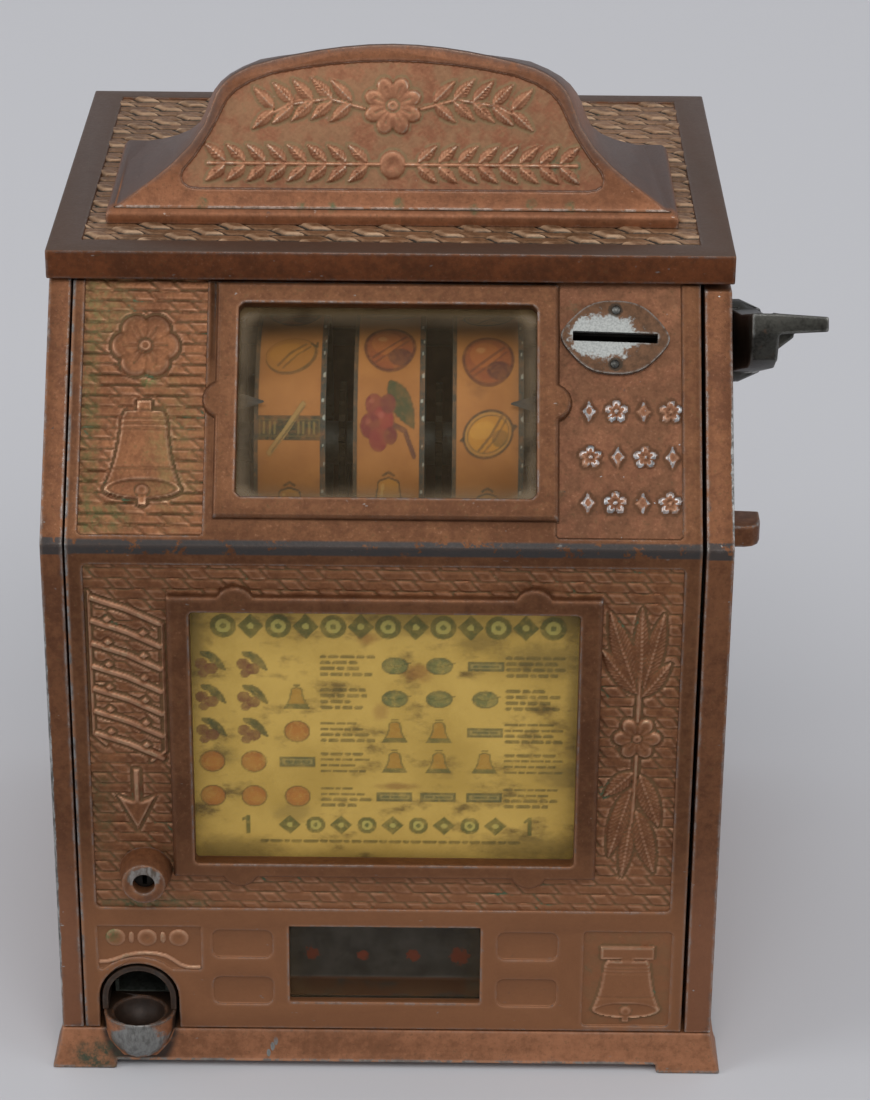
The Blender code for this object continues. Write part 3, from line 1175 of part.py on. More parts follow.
def build_reels(case, reels):
    """Shaft, and for each reel a turned drum, a printed strip and a star wheel."""
    axis = at(SIDE, REEL_CENTRE.y, REEL_CENTRE.z)
    places = reel_places()
    half = REEL_WIDTH / 2
    star_start = half + STAR_GAP
    hub_left = -(REEL_PITCH - star_start - STAR_THICKNESS - SEAT_GAP)
    bore = REEL_SHAFT_RADIUS + RUNNING_GAP

    shoulder_end = places[0] + hub_left - SEAT_GAP
    outer_end = FRAME_HALF_SPACING + FRAME_THICKNESS
    inside = FRAME_HALF_SPACING - SEAT_GAP
    shaft = bmesh.new()
    turned(shaft, axis, [(REEL_SHAFT_RADIUS, -outer_end), (REEL_SHAFT_RADIUS, -inside),
                         (REEL_SHAFT_SHOULDER, -inside),
                         (REEL_SHAFT_SHOULDER, shoulder_end), (REEL_SHAFT_RADIUS, shoulder_end),
                         (REEL_SHAFT_RADIUS, outer_end)], SMALL_SEGMENTS)
    make("reel_shaft", shaft, "dark_steel", case, smooth=True)

    rim_out = REEL_RADIUS - REEL_STRIP_THICKNESS - SEAT_GAP
    rim_in = rim_out - REEL_RIM
    for side_name, place, body in zip(("left", "middle", "right"), places, reels):
        left, right = place - half, place + half
        hub_start, hub_end = place + hub_left, place + star_start - SEAT_GAP
        web = left + REEL_WEB
        drum = bmesh.new()
        turned(drum, axis, [(bore, hub_start), (REEL_HUB_RADIUS, hub_start), (REEL_HUB_RADIUS, left),
                            (rim_out, left), (rim_out, right), (rim_in, right), (rim_in, web),
                            (REEL_HUB_RADIUS, web), (REEL_HUB_RADIUS, hub_end), (bore, hub_end)],
               FINE_SEGMENTS, hollow=True)
        make(f"{side_name}_reel_drum", drum, "zinc_sheet", body, smooth=True)
        strip = bmesh.new()
        tube(strip, axis, REEL_RADIUS, rim_out + SEAT_GAP, left, right, FINE_SEGMENTS)
        make(f"{side_name}_reel_strip", strip, "reel_paper", body, smooth=True)
        star = bmesh.new()
        star_left = place + star_start
        outline = star_outline((REEL_CENTRE.y, REEL_CENTRE.z), STAR_TIP_RADIUS, STAR_ROOT_RADIUS,
                               STAR_TEETH, STAR_TOOTH_SHARES, STAR_PHASE)
        slab(star, SIDE, outline, star_left, star_left + STAR_THICKNESS)
        wheel = make(f"{side_name}_star_wheel", star, "brass", body)
        hole = bmesh.new()
        rod(hole, axis, bore, star_left - OVERRUN / 4, star_left + STAR_THICKNESS + OVERRUN / 4)
        combine(wheel, hole, "bore", body)


def build_stop_arms(case, arms):
    """Shaft and three arms whose noses drop into the star wheels."""
    end = FRAME_HALF_SPACING + FRAME_THICKNESS
    axis = at(SIDE, STOP_SHAFT_Y, STOP_SHAFT_Z)
    shaft = bmesh.new()
    rod(shaft, axis, STOP_SHAFT_RADIUS, -end, end)
    make("stop_arm_shaft", shaft, "dark_steel", case, smooth=True)

    nose_top = REEL_CENTRE.z - STAR_TIP_RADIUS - STOP_NOSE_GAP
    half = STOP_NOSE_WIDTH / 2
    bottom, top = STOP_SHAFT_Z - STOP_ARM_HEIGHT / 2, STOP_SHAFT_Z + STOP_ARM_HEIGHT / 2
    hub = arc((STOP_SHAFT_Y, STOP_SHAFT_Z), STOP_ARM_HUB_RADIUS, -150.0, 150.0, SMALL_SEGMENTS)
    outline = hub + [(REEL_CENTRE.y + 2 * half, top), (REEL_CENTRE.y + half, nose_top),
                     (REEL_CENTRE.y - half, nose_top), (REEL_CENTRE.y - 2 * half, top - half),
                     (REEL_CENTRE.y - half, bottom)]
    for side_name, place, body in zip(("left", "middle", "right"), reel_places(), arms):
        near = place + REEL_WIDTH / 2 + STAR_GAP + (STAR_THICKNESS - STOP_ARM_THICKNESS) / 2
        blade = bmesh.new()
        slab(blade, SIDE, outline, near, near + STOP_ARM_THICKNESS)
        arm = make(f"{side_name}_stop_arm", blade, "dark_steel", body)
        hole = bmesh.new()
        far = near + STOP_ARM_THICKNESS
        rod(hole, axis, STOP_SHAFT_RADIUS + RUNNING_GAP, near - OVERRUN / 4, far + OVERRUN / 4)
        combine(arm, hole, "bore", body)


def build_lever(lever):
    """Lever with a round hub, a rising arm, a thumb tab and its gusset, on a cross shaft."""
    axis = at(SIDE, LEVER_AXIS_Y, LEVER_AXIS_Z)
    hub_start = HALF_CASE + LEVER_HUB_GAP
    hub_end = hub_start + LEVER_HUB_LENGTH
    hub = bmesh.new()
    middle = hub_start + LEVER_HUB_LENGTH / 2
    turned(hub, axis, [(LEVER_HUB_RADIUS, hub_start), (LEVER_HUB_RADIUS, middle),
                       (LEVER_HUB_FACE_RADIUS, hub_end)], ROUND_SEGMENTS)
    handle = make("lever_handle", hub, "dark_steel", lever, smooth=True)

    arm_start = HALF_CASE + LEVER_ARM_START
    arm_end = arm_start + LEVER_ARM_THICKNESS
    half_root = LEVER_ARM_HALF_ROOT
    under = [(LEVER_LENGTH * along, LEVER_ARM_BOTTOM * above) for along, above in LEVER_ARM_OUTLINE_SHARES]
    tab_low = LEVER_ARM_TOP - LEVER_TAB_THICKNESS
    drawn = [(0.0, half_root), (LEVER_LENGTH / 2, LEVER_ARM_TOP), (LEVER_LENGTH, LEVER_ARM_TOP),
             (LEVER_LENGTH, tab_low)] + under + [(0.0, -half_root)]
    arm = bmesh.new()
    slab(arm, SIDE, [lever_point(along, above) for along, above in drawn], arm_start, arm_end)
    combine(handle, arm, "arm", lever, "UNION")

    tab = bmesh.new()
    tab_root = LEVER_LENGTH - LEVER_TAB_LENGTH
    tip_trim = LEVER_TAB_THICKNESS * (1 - LEVER_TAB_TIP_SHARE)
    tip_x = HALF_CASE + LEVER_TAB_REACH
    inner = [lever_point(*corner) for corner in rectangle(tab_root, LEVER_LENGTH, tab_low, LEVER_ARM_TOP)]
    outer = [lever_point(*corner) for corner in
             rectangle(tab_root + tip_trim, LEVER_LENGTH - tip_trim, tab_low + tip_trim,
                       LEVER_ARM_TOP - tip_trim)]
    shoulder = arm_start + LEVER_ARM_THICKNESS / 2
    loft(tab, [[Vector((shoulder, y, z)) for y, z in inner], [Vector((tip_x, y, z)) for y, z in outer]])
    combine(handle, tab, "tab", lever, "UNION")

    gusset = bmesh.new()
    gusset_front = LEVER_LENGTH - LEVER_TAB_THICKNESS
    gusset_back = gusset_front - LEVER_GUSSET_LENGTH
    low = LEVER_ARM_BOTTOM * LEVER_ARM_OUTLINE_SHARES[0][1]
    rings = []
    for reach, bottom in ((shoulder, low), (HALF_CASE + LEVER_GUSSET_REACH, tab_low - tip_trim)):
        drawn = rectangle(gusset_back, gusset_front, bottom, tab_low + tip_trim)
        rings.append([Vector((reach, *lever_point(*corner))) for corner in drawn])
    loft(gusset, rings)
    combine(handle, gusset, "gusset", lever, "UNION")

    shaft_end = hub_start - SEAT_GAP
    crank_outer = FRAME_HALF_SPACING + FRAME_THICKNESS + CRANK_FRAME_GAP + CRANK_THICKNESS
    step = crank_outer + SEAT_GAP
    shaft = bmesh.new()
    turned(shaft, axis, [(LEVER_CROSS_RADIUS, -crank_outer - LEVER_CROSS_RADIUS), (LEVER_CROSS_RADIUS, step),
                         (LEVER_SHAFT_RADIUS, step), (LEVER_SHAFT_RADIUS, shaft_end)], ROUND_SEGMENTS)
    make("lever_shaft", shaft, "dark_steel", lever, smooth=True)


def crank_outline():
    """Tapered crank that points forward and a little up from the lever's axis."""
    rise = LEVER_TRAVEL / 2
    tip = crank_tip()
    root = (LEVER_AXIS_Y, LEVER_AXIS_Z)
    points = arc(root, CRANK_HUB_RADIUS, -90.0 - rise, 90.0 - rise, SMALL_SEGMENTS // 2)
    points += arc(tip, CRANK_TIP_RADIUS, 90.0 - rise, 270.0 - rise, SMALL_SEGMENTS // 2)
    return points


def crank_tip():
    """Middle (y, z) of the crank's pin at rest."""
    rise = math.radians(LEVER_TRAVEL / 2)
    return (LEVER_AXIS_Y - CRANK_LENGTH * math.cos(rise), LEVER_AXIS_Z + CRANK_LENGTH * math.sin(rise))


def build_cranks(lever, link):
    """Kicker crank on the right, gum crank with its pin on the left, and the hanging link."""
    axis = at(SIDE, LEVER_AXIS_Y, LEVER_AXIS_Z)
    near = FRAME_HALF_SPACING + FRAME_THICKNESS + CRANK_FRAME_GAP
    far = near + CRANK_THICKNESS
    tip = crank_tip()
    for name, sign in (("kicker_crank", 1), ("gum_crank", -1)):
        start, end = sorted((sign * near, sign * far))
        body = bmesh.new()
        slab(body, SIDE, crank_outline(), start, end)
        crank = make(name, body, "dark_steel", lever)
        pin = bmesh.new()
        pin_start, pin_end = sorted((sign * (near + CRANK_THICKNESS / 2), sign * (far + 2 * LINK_THICKNESS)))
        rod(pin, at(SIDE, *tip), CRANK_PIN_RADIUS, pin_start, pin_end)
        combine(crank, pin, "pin", lever, "UNION")
        hole = bmesh.new()
        rod(hole, axis, LEVER_CROSS_RADIUS + SEAT_GAP, start - OVERRUN / 4, end + OVERRUN / 4)
        combine(crank, hole, "bore", lever)

    half = LINK_WIDTH / 2
    link_near, link_far = link_lane()
    tooth_edge = GUM_AXIS_Y + RATCHET_RADIUS + LINK_HOOK_GAP
    foot = GUM_AXIS_Z + LINK_DROP
    outline = arc(tip, half + CRANK_PIN_RADIUS / 2, -30.0, 210.0, SMALL_SEGMENTS)
    outline += [(tip[0] - half, foot + LINK_DROP), (tooth_edge, foot), (tooth_edge, foot - half),
                (tip[0] + half, foot)]
    bar = bmesh.new()
    slab(bar, SIDE, outline, link_near, link_far)
    hanger = make("gum_link", bar, "zinc_sheet", link)
    hole = bmesh.new()
    rod(hole, at(SIDE, *tip), CRANK_PIN_RADIUS + RUNNING_GAP, link_near - OVERRUN / 4,
        link_far + OVERRUN / 4)
    combine(hanger, hole, "bore", link)


def link_lane():
    """Far left and near edge of the lane in which the link and the ratchet lie."""
    near = FRAME_HALF_SPACING + FRAME_THICKNESS + CRANK_FRAME_GAP + CRANK_THICKNESS + SEAT_GAP
    return -near - LINK_THICKNESS, -near


def build_spring(case):
    """Return spring wound round the lever shaft, with a tail that rests on the frame plate."""
    plate = FRAME_HALF_SPACING + FRAME_THICKNESS + SEAT_GAP + SPRING_WIRE_RADIUS
    start = FRAME_HALF_SPACING + FRAME_THICKNESS + CRANK_THICKNESS + SPRING_START_GAP
    radius = LEVER_SHAFT_RADIUS + SEAT_GAP + SPRING_WIRE_RADIUS
    count = SPRING_TURNS * SPRING_POINTS_PER_TURN
    behind = LEVER_AXIS_Y + radius
    points = [(plate, behind, LEVER_AXIS_Z - SPRING_TAIL), (start, behind, LEVER_AXIS_Z - SPRING_TAIL)]
    for step in range(count + 1):
        turn = 2 * math.pi * step / SPRING_POINTS_PER_TURN
        points.append((start + SPRING_LENGTH * step / count,
                       LEVER_AXIS_Y + radius * math.cos(turn), LEVER_AXIS_Z + radius * math.sin(turn)))
    points.append((start + SPRING_LENGTH, behind, LEVER_AXIS_Z + SPRING_TAIL))
    wire = bpy.data.curves.new("lever_return_spring", "CURVE")
    wire.dimensions = "3D"
    wire.bevel_depth = SPRING_WIRE_RADIUS
    wire.bevel_resolution = 1
    wire.use_fill_caps = True
    line = wire.splines.new("POLY")
    line.points.add(len(points) - 1)
    for knot, place in zip(line.points, points):
        knot.co = (*(Vector(place) - Vector(case["place"])), 1.0)
    spring = bpy.data.objects.new("lever_return_spring", wire)
    bpy.context.scene.collection.objects.link(spring)
    spring.parent = case
    wire.materials.append(finish("dark_steel"))


def pocketed_outline():
    """Round wheel with half-round pockets, one of them on top."""
    points = []
    pitch = 360.0 / GUM_POCKETS
    pocket_centre = GUM_WHEEL_RADIUS - GUM_POCKET_INSET
    rim, pocket = GUM_WHEEL_RADIUS, GUM_POCKET_RADIUS
    cosine = (rim * rim + pocket_centre * pocket_centre - pocket * pocket) / (2 * rim * pocket_centre)
    half_mouth = math.degrees(math.acos(cosine))
    centre = (GUM_AXIS_Y, GUM_AXIS_Z)
    mouth_height = rim * cosine - pocket_centre
    lip = math.degrees(math.asin(mouth_height / pocket))
    for index in range(GUM_POCKETS):
        middle = 90.0 + pitch * index
        turn = math.radians(middle)
        hub = (centre[0] + pocket_centre * math.cos(turn), centre[1] + pocket_centre * math.sin(turn))
        points += arc(hub, pocket, middle - 90.0 + lip, middle - 270.0 - lip, GUM_POCKET_STEPS)
        points += arc(centre, rim, middle + half_mouth, middle + pitch - half_mouth, GUM_LAND_STEPS)[1:-1]
    return points


def build_gum_feed(case, wheel_body):
    """Magazine tube, vending wheel with ratchet and shaft, bracket and chute."""
    half = GUM_WHEEL_WIDTH / 2
    centre = (GUM_AXIS_Y, GUM_AXIS_Z)
    left, right = GUM_BALL_LANE_X - half, GUM_BALL_LANE_X + half
    axis = at(SIDE, *centre)
    wheel = bmesh.new()
    slab(wheel, SIDE, pocketed_outline(), left, right)
    disc = make("gum_wheel", wheel, "brass", wheel_body)
    hole = bmesh.new()
    rod(hole, axis, GUM_SHAFT_RADIUS + SEAT_GAP, left - OVERRUN / 4, right + OVERRUN / 4)
    combine(disc, hole, "bore", wheel_body)

    lane_far, lane_near = link_lane()
    shift = (lane_near - lane_far - RATCHET_THICKNESS) / 2
    ratchet = bmesh.new()
    outline = star_outline(centre, RATCHET_RADIUS, RATCHET_ROOT_RADIUS, RATCHET_TEETH,
                           RATCHET_TOOTH_SHARES)
    slab(ratchet, SIDE, outline, lane_far + shift, lane_near - shift)
    teeth = make("ratchet_wheel", ratchet, "dark_steel", wheel_body)
    hole = bmesh.new()
    rod(hole, axis, GUM_SHAFT_RADIUS + SEAT_GAP, lane_far - OVERRUN / 4, lane_near + OVERRUN / 4)
    combine(teeth, hole, "bore", wheel_body)

    bracket_right = left - GUM_BRACKET_WHEEL_GAP
    bracket_left = bracket_right - GUM_BRACKET_THICKNESS
    shaft = bmesh.new()
    rod(shaft, axis, GUM_SHAFT_RADIUS, bracket_left, -FRAME_HALF_SPACING)
    make("gum_wheel_shaft", shaft, "dark_steel", wheel_body, smooth=True)

    bracket = bmesh.new()
    reach = GUM_BRACKET_WIDTH / 2
    outline = [(GUM_AXIS_Y + reach, MECHANISM_FLOOR)]
    outline += arc(centre, reach / 2, 0.0, 180.0, SMALL_SEGMENTS // 2)
    outline += [(GUM_AXIS_Y - reach, MECHANISM_FLOOR)]
    slab(bracket, SIDE, outline, bracket_left, bracket_right)
    upright = make("gum_wheel_bracket", bracket, "zinc_sheet", case)
    hole = bmesh.new()
    rod(hole, axis, GUM_SHAFT_RADIUS + RUNNING_GAP, bracket_left - OVERRUN / 4, bracket_right + OVERRUN / 4)
    combine(upright, hole, "bore", case)

    low = GUM_AXIS_Z + GUM_WHEEL_RADIUS + MAGAZINE_WHEEL_GAP
    lane = at(PLAN, GUM_BALL_LANE_X, GUM_AXIS_Y)
    tube_body = bmesh.new()
    tube(tube_body, lane, MAGAZINE_RADIUS, MAGAZINE_RADIUS - MAGAZINE_WALL, low, MAGAZINE_TOP,
         ROUND_SEGMENTS)
    magazine = make("gum_magazine", tube_body, "zinc_sheet", case, smooth=True)
    lugs = bmesh.new()
    width = MAGAZINE_LUG_WIDTH / 2
    start = GUM_BALL_LANE_X + MAGAZINE_RADIUS - MAGAZINE_WALL / 2
    end = -FRAME_HALF_SPACING - FRAME_THICKNESS - SEAT_GAP
    for up in (MAGAZINE_LUG_LOW_Z, MAGAZINE_LUG_HIGH_Z):
        slab(lugs, PLAN, rectangle(start, end, GUM_AXIS_Y - width, GUM_AXIS_Y + width), up,
             up + MAGAZINE_LUG_HEIGHT)
    combine(magazine, lugs, "lugs", case, "UNION")

    build_gum_chute(case)


def build_gum_chute(case):
    """Sloping trough from under the wheel, through the throat, to the cup."""
    half = ARCH_RADIUS - THROAT_GAP - THROAT_WALL - CHUTE_CLEARANCE
    front, back = CUP_BACK - CHUTE_WALL, GUM_AXIS_Y + GUM_WHEEL_RADIUS / 2
    front_floor = CUP_LIP_HEIGHT + CHUTE_CUP_GAP
    back_floor = GUM_AXIS_Z - GUM_WHEEL_RADIUS - CHUTE_WHEEL_GAP - CHUTE_SIDE_HEIGHT
    rings = []
    for y, floor in ((front, front_floor), (back, back_floor)):
        high = floor + CHUTE_SIDE_HEIGHT
        low = floor - CHUTE_WALL if y > CUP_BACK else floor - CHUTE_WALL / 2
        inner = half - CHUTE_WALL
        section = [(-half, low), (half, low), (half, high), (inner, high), (inner, floor),
                   (-inner, floor), (-inner, high), (-half, high)]
        rings.append([Vector((GUM_BALL_LANE_X + x, y, z)) for x, z in section])
    trough = bmesh.new()
    loft(trough, rings)
    chute = make("gum_chute", trough, "zinc_sheet", case)
    leg = bmesh.new()
    leg_back = back - CHUTE_WALL
    leg_front = leg_back - 2 * CHUTE_WALL
    top = back_floor - CHUTE_WALL / 2
    slab(leg, PLAN, rectangle(GUM_BALL_LANE_X - half, GUM_BALL_LANE_X + half, leg_front, leg_back),
         MECHANISM_FLOOR, top)
    combine(chute, leg, "leg", case, "UNION")


def build_coin_path(case):
    """Coin chute down the right side, dark display tray behind the low window, and cash box."""
    wide, deep, wall = COIN_CHUTE_INNER_WIDTH / 2, COIN_CHUTE_INNER_DEPTH, COIN_CHUTE_WALL
    x, front = COIN_CHUTE_X, COIN_CHUTE_FRONT
    channel = bmesh.new()
    slab(channel, PLAN, rectangle(x - wide - wall, x + wide + wall, front, front + deep + 2 * wall),
         MECHANISM_FLOOR, COIN_CHUTE_TOP)
    chute = make("coin_chute", channel, "zinc_sheet", case)
    lane = bmesh.new()
    slab(lane, PLAN, rectangle(x - wide, x + wide, front + wall, front + wall + deep),
         MECHANISM_FLOOR - OVERRUN / 4, COIN_CHUTE_TOP + OVERRUN)
    combine(chute, lane, "lane", case)

    half, sheet = COIN_TRAY_HALF_WIDTH, COIN_TRAY_SHEET
    back, ledge, rail = COIN_TRAY_BACK, COIN_TRAY_LEDGE_HEIGHT, COIN_TRAY_RAIL
    floor = BASE_HEIGHT + SEAT_GAP
    outline = [(back, floor), (back + COIN_TRAY_FOOT, floor), (back + COIN_TRAY_FOOT, floor + sheet),
               (back + sheet, floor + sheet), (back + sheet, COIN_TRAY_TOP), (back, COIN_TRAY_TOP),
               (back, ledge), (COIN_TRAY_LEDGE_FRONT + sheet, ledge),
               (COIN_TRAY_LEDGE_FRONT + sheet, ledge + rail), (COIN_TRAY_LEDGE_FRONT, ledge + rail),
               (COIN_TRAY_LEDGE_FRONT, ledge - sheet), (back, ledge - sheet)]
    tray = bmesh.new()
    slab(tray, SIDE, outline, COIN_WINDOW_CENTRE_X - half, COIN_WINDOW_CENTRE_X + half)
    make("coin_display_tray", tray, "dark_steel", case)

    half, wall = CASH_BOX_WIDTH / 2, CASH_BOX_WALL
    rear = CASH_BOX_FRONT + CASH_BOX_DEPTH
    top = MECHANISM_FLOOR + CASH_BOX_HEIGHT
    body = bmesh.new()
    slab(body, PLAN, rectangle(-half, half, CASH_BOX_FRONT, rear), MECHANISM_FLOOR, top)
    box = make("cash_box", body, "zinc_sheet", case)
    inside = bmesh.new()
    slab(inside, PLAN, rectangle(wall - half, half - wall, CASH_BOX_FRONT + wall, rear - wall),
         MECHANISM_FLOOR + wall, top + OVERRUN)
    combine(box, inside, "inside", case)


def build_case(case):
    """Everything that stays with the case."""
    build_base(case)
    build_side(case, "left_side_casting", -1, LEFT_EDGE_WIDTH, LID_UNDERSIDE - SEAT_GAP)
    build_right_side(case)
    build_back(case)
    build_lid(case)
    build_marquee(case)
    build_throat(case)
    build_hinges(case)
    build_frame(case)
    build_spring(case)
    build_coin_path(case)


def build_door(door, lock):
    """Everything that swings with the door."""
    build_door_casting(door)
    build_panes(door)
    build_coin_entry(door)
    build_lock(door, lock)


def main():
    """Build the whole machine."""
    clear_scene()
    origin = empty("machine_origin", (FRAME_SHIFT_X, FRAME_SHIFT_Y, 0.0))
    door = empty("door_axis", (HINGE_X, HINGE_DEPTH, 0.0), origin)
    lock = empty("lock_axis", (LOCK_X, 0.0, LOCK_Z), door)
    lever = empty("lever_axis", (HALF_CASE, LEVER_AXIS_Y, LEVER_AXIS_Z), origin)
    link = empty("gum_link_axis", (-FRAME_HALF_SPACING, *crank_tip()), lever)
    wheel = empty("gum_wheel_axis", (GUM_BALL_LANE_X, GUM_AXIS_Y, GUM_AXIS_Z), origin)
    reels = [empty(f"{name}_reel_axis", (place, REEL_CENTRE.y, REEL_CENTRE.z), origin)
             for name, place in zip(("left", "middle", "right"), reel_places())]
    arms = [empty(f"{name}_stop_arm_axis", (place, STOP_SHAFT_Y, STOP_SHAFT_Z), origin)
            for name, place in zip(("left", "middle", "right"), reel_places())]
    build_case(origin)
    build_door(door, lock)
    build_lever(lever)
    build_cranks(lever, link)
    build_reels(origin, reels)
    build_stop_arms(origin, arms)
    build_gum_feed(origin, wheel)


main()
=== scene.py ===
"""Looks of a counter gum vending machine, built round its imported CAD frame."""

from __future__ import annotations

import logging
import math
from dataclasses import dataclass
from enum import Enum
from typing import Callable

import bmesh
import bpy
import numpy as np
from bmesh.types import BMEdge, BMesh, BMVert
from bpy.types import Material, Mesh
from mathutils import Matrix, Vector
from numpy import ndarray as Array


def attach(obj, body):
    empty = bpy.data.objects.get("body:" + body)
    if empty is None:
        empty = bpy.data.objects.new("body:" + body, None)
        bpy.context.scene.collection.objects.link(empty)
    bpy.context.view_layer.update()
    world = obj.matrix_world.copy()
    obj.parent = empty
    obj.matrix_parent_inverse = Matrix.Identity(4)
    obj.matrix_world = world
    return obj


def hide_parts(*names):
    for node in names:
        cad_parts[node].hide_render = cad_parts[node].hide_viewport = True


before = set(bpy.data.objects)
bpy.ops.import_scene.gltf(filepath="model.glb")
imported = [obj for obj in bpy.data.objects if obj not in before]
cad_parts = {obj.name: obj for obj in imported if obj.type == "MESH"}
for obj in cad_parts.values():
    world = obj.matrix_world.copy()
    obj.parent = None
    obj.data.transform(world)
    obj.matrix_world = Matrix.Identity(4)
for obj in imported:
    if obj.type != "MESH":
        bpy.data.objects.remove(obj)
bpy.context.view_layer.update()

Pair = tuple[float, float]
Triple = tuple[float, float, float]
LOG = logging.getLogger("machine")
MM = 0.001
SHIFT_X = -12.9
SHIFT_Y = -101.25
SLOPE_ANGLE = math.atan2(53.2, 67.0)
KNEE_HEIGHT = 188.0


class Body(Enum):
    """Moving bodies of the machine, by the names that the frame gives them."""

    CASE = "case"
    DOOR = "door"
    LEVER = "lever"
    LEFT_REEL = "left_reel"
    MIDDLE_REEL = "middle_reel"
    RIGHT_REEL = "right_reel"


@dataclass(frozen=True)
class Plane:
    """A flat face of the machine, drawn on in millimetres."""

    origin: Triple
    across: Triple
    up: Triple

    def matrix(self) -> Matrix:
        """Turns millimetres across, up and outward into a place in the frame.

        Returns:
            The 4 by 4 matrix, scale included.
        """
        across, up = Vector(self.across), Vector(self.up)
        origin = Vector(self.origin) + Vector((SHIFT_X, SHIFT_Y, 0.0))
        turn = Matrix((across, up, across.cross(up))).transposed().to_4x4()
        return Matrix.Translation(origin * MM) @ turn @ Matrix.Scale(MM, 4)


FRONT = Plane((0.0, 0.0, 0.0), (1, 0, 0), (0, 0, 1))
SLOPE = Plane((0.0, 0.0, KNEE_HEIGHT), (1, 0, 0), (0, math.sin(SLOPE_ANGLE), math.cos(SLOPE_ANGLE)))
LID_TOP = Plane((0.0, 0.0, 263.1), (1, 0, 0), (0, 1, 0))
LEAN = math.radians(17.0)
CREST = Plane((0.0, 79.1, 267.0), (1, 0, 0), (0, math.sin(LEAN), math.cos(LEAN)))


def hue(text: str) -> tuple[float, ...]:
    """Linear colour, with the fourth number that sockets take, of a six-figure screen colour."""
    parts = [int(text[i : i + 2], 16) / 255 for i in (0, 2, 4)]
    return (*(p / 12.92 if p <= 0.04045 else ((p + 0.055) / 1.055) ** 2.4 for p in parts), 1.0)


def maths(operation: str, reflected: bool = False) -> Callable[..., Socket]:
    """Makes a method that joins its values in one Math node.

    Args:
        operation: the node's operation.
        reflected: puts the socket's own value last.

    Returns:
        The method.
    """

    def join(self: Socket, *others: Socket | float) -> Socket:
        """One Math node on these values."""
        values = (*others, self) if reflected else (self, *others)
        return self.graph.node("ShaderNodeMath", {"operation": operation}, dict(enumerate(values)))

    return join


class Socket:
    """An output socket whose sums, products and powers add their Math nodes."""

    __add__, __radd__ = maths("ADD"), maths("ADD", True)
    __sub__, __rsub__ = maths("SUBTRACT"), maths("SUBTRACT", True)
    __mul__, __rmul__ = maths("MULTIPLY"), maths("MULTIPLY", True)
    __truediv__, __pow__ = maths("DIVIDE"), maths("POWER")
    __abs__, most = maths("ABSOLUTE"), maths("MAXIMUM")

    def __init__(self, graph: Graph, socket: bpy.types.NodeSocket) -> None:
        """Keeps the graph that the socket belongs to."""
        self.graph, self.socket = graph, socket

    def ramp(self, low: float, high: float) -> Socket:
        """Goes smoothly from 0 at low to 1 at high, or back where low is the larger.

        Args:
            low: the value that gives 0.
            high: the value that gives 1.

        Returns:
            The eased share.
        """
        start, end, first, last = (low, high, 0.0, 1.0) if low < high else (high, low, 1.0, 0.0)
        inputs = {"Value": self, "From Min": start, "From Max": end, "To Min": first, "To Max": last}
        return self.graph.node("ShaderNodeMapRange", {"interpolation_type": "SMOOTHSTEP"}, inputs)


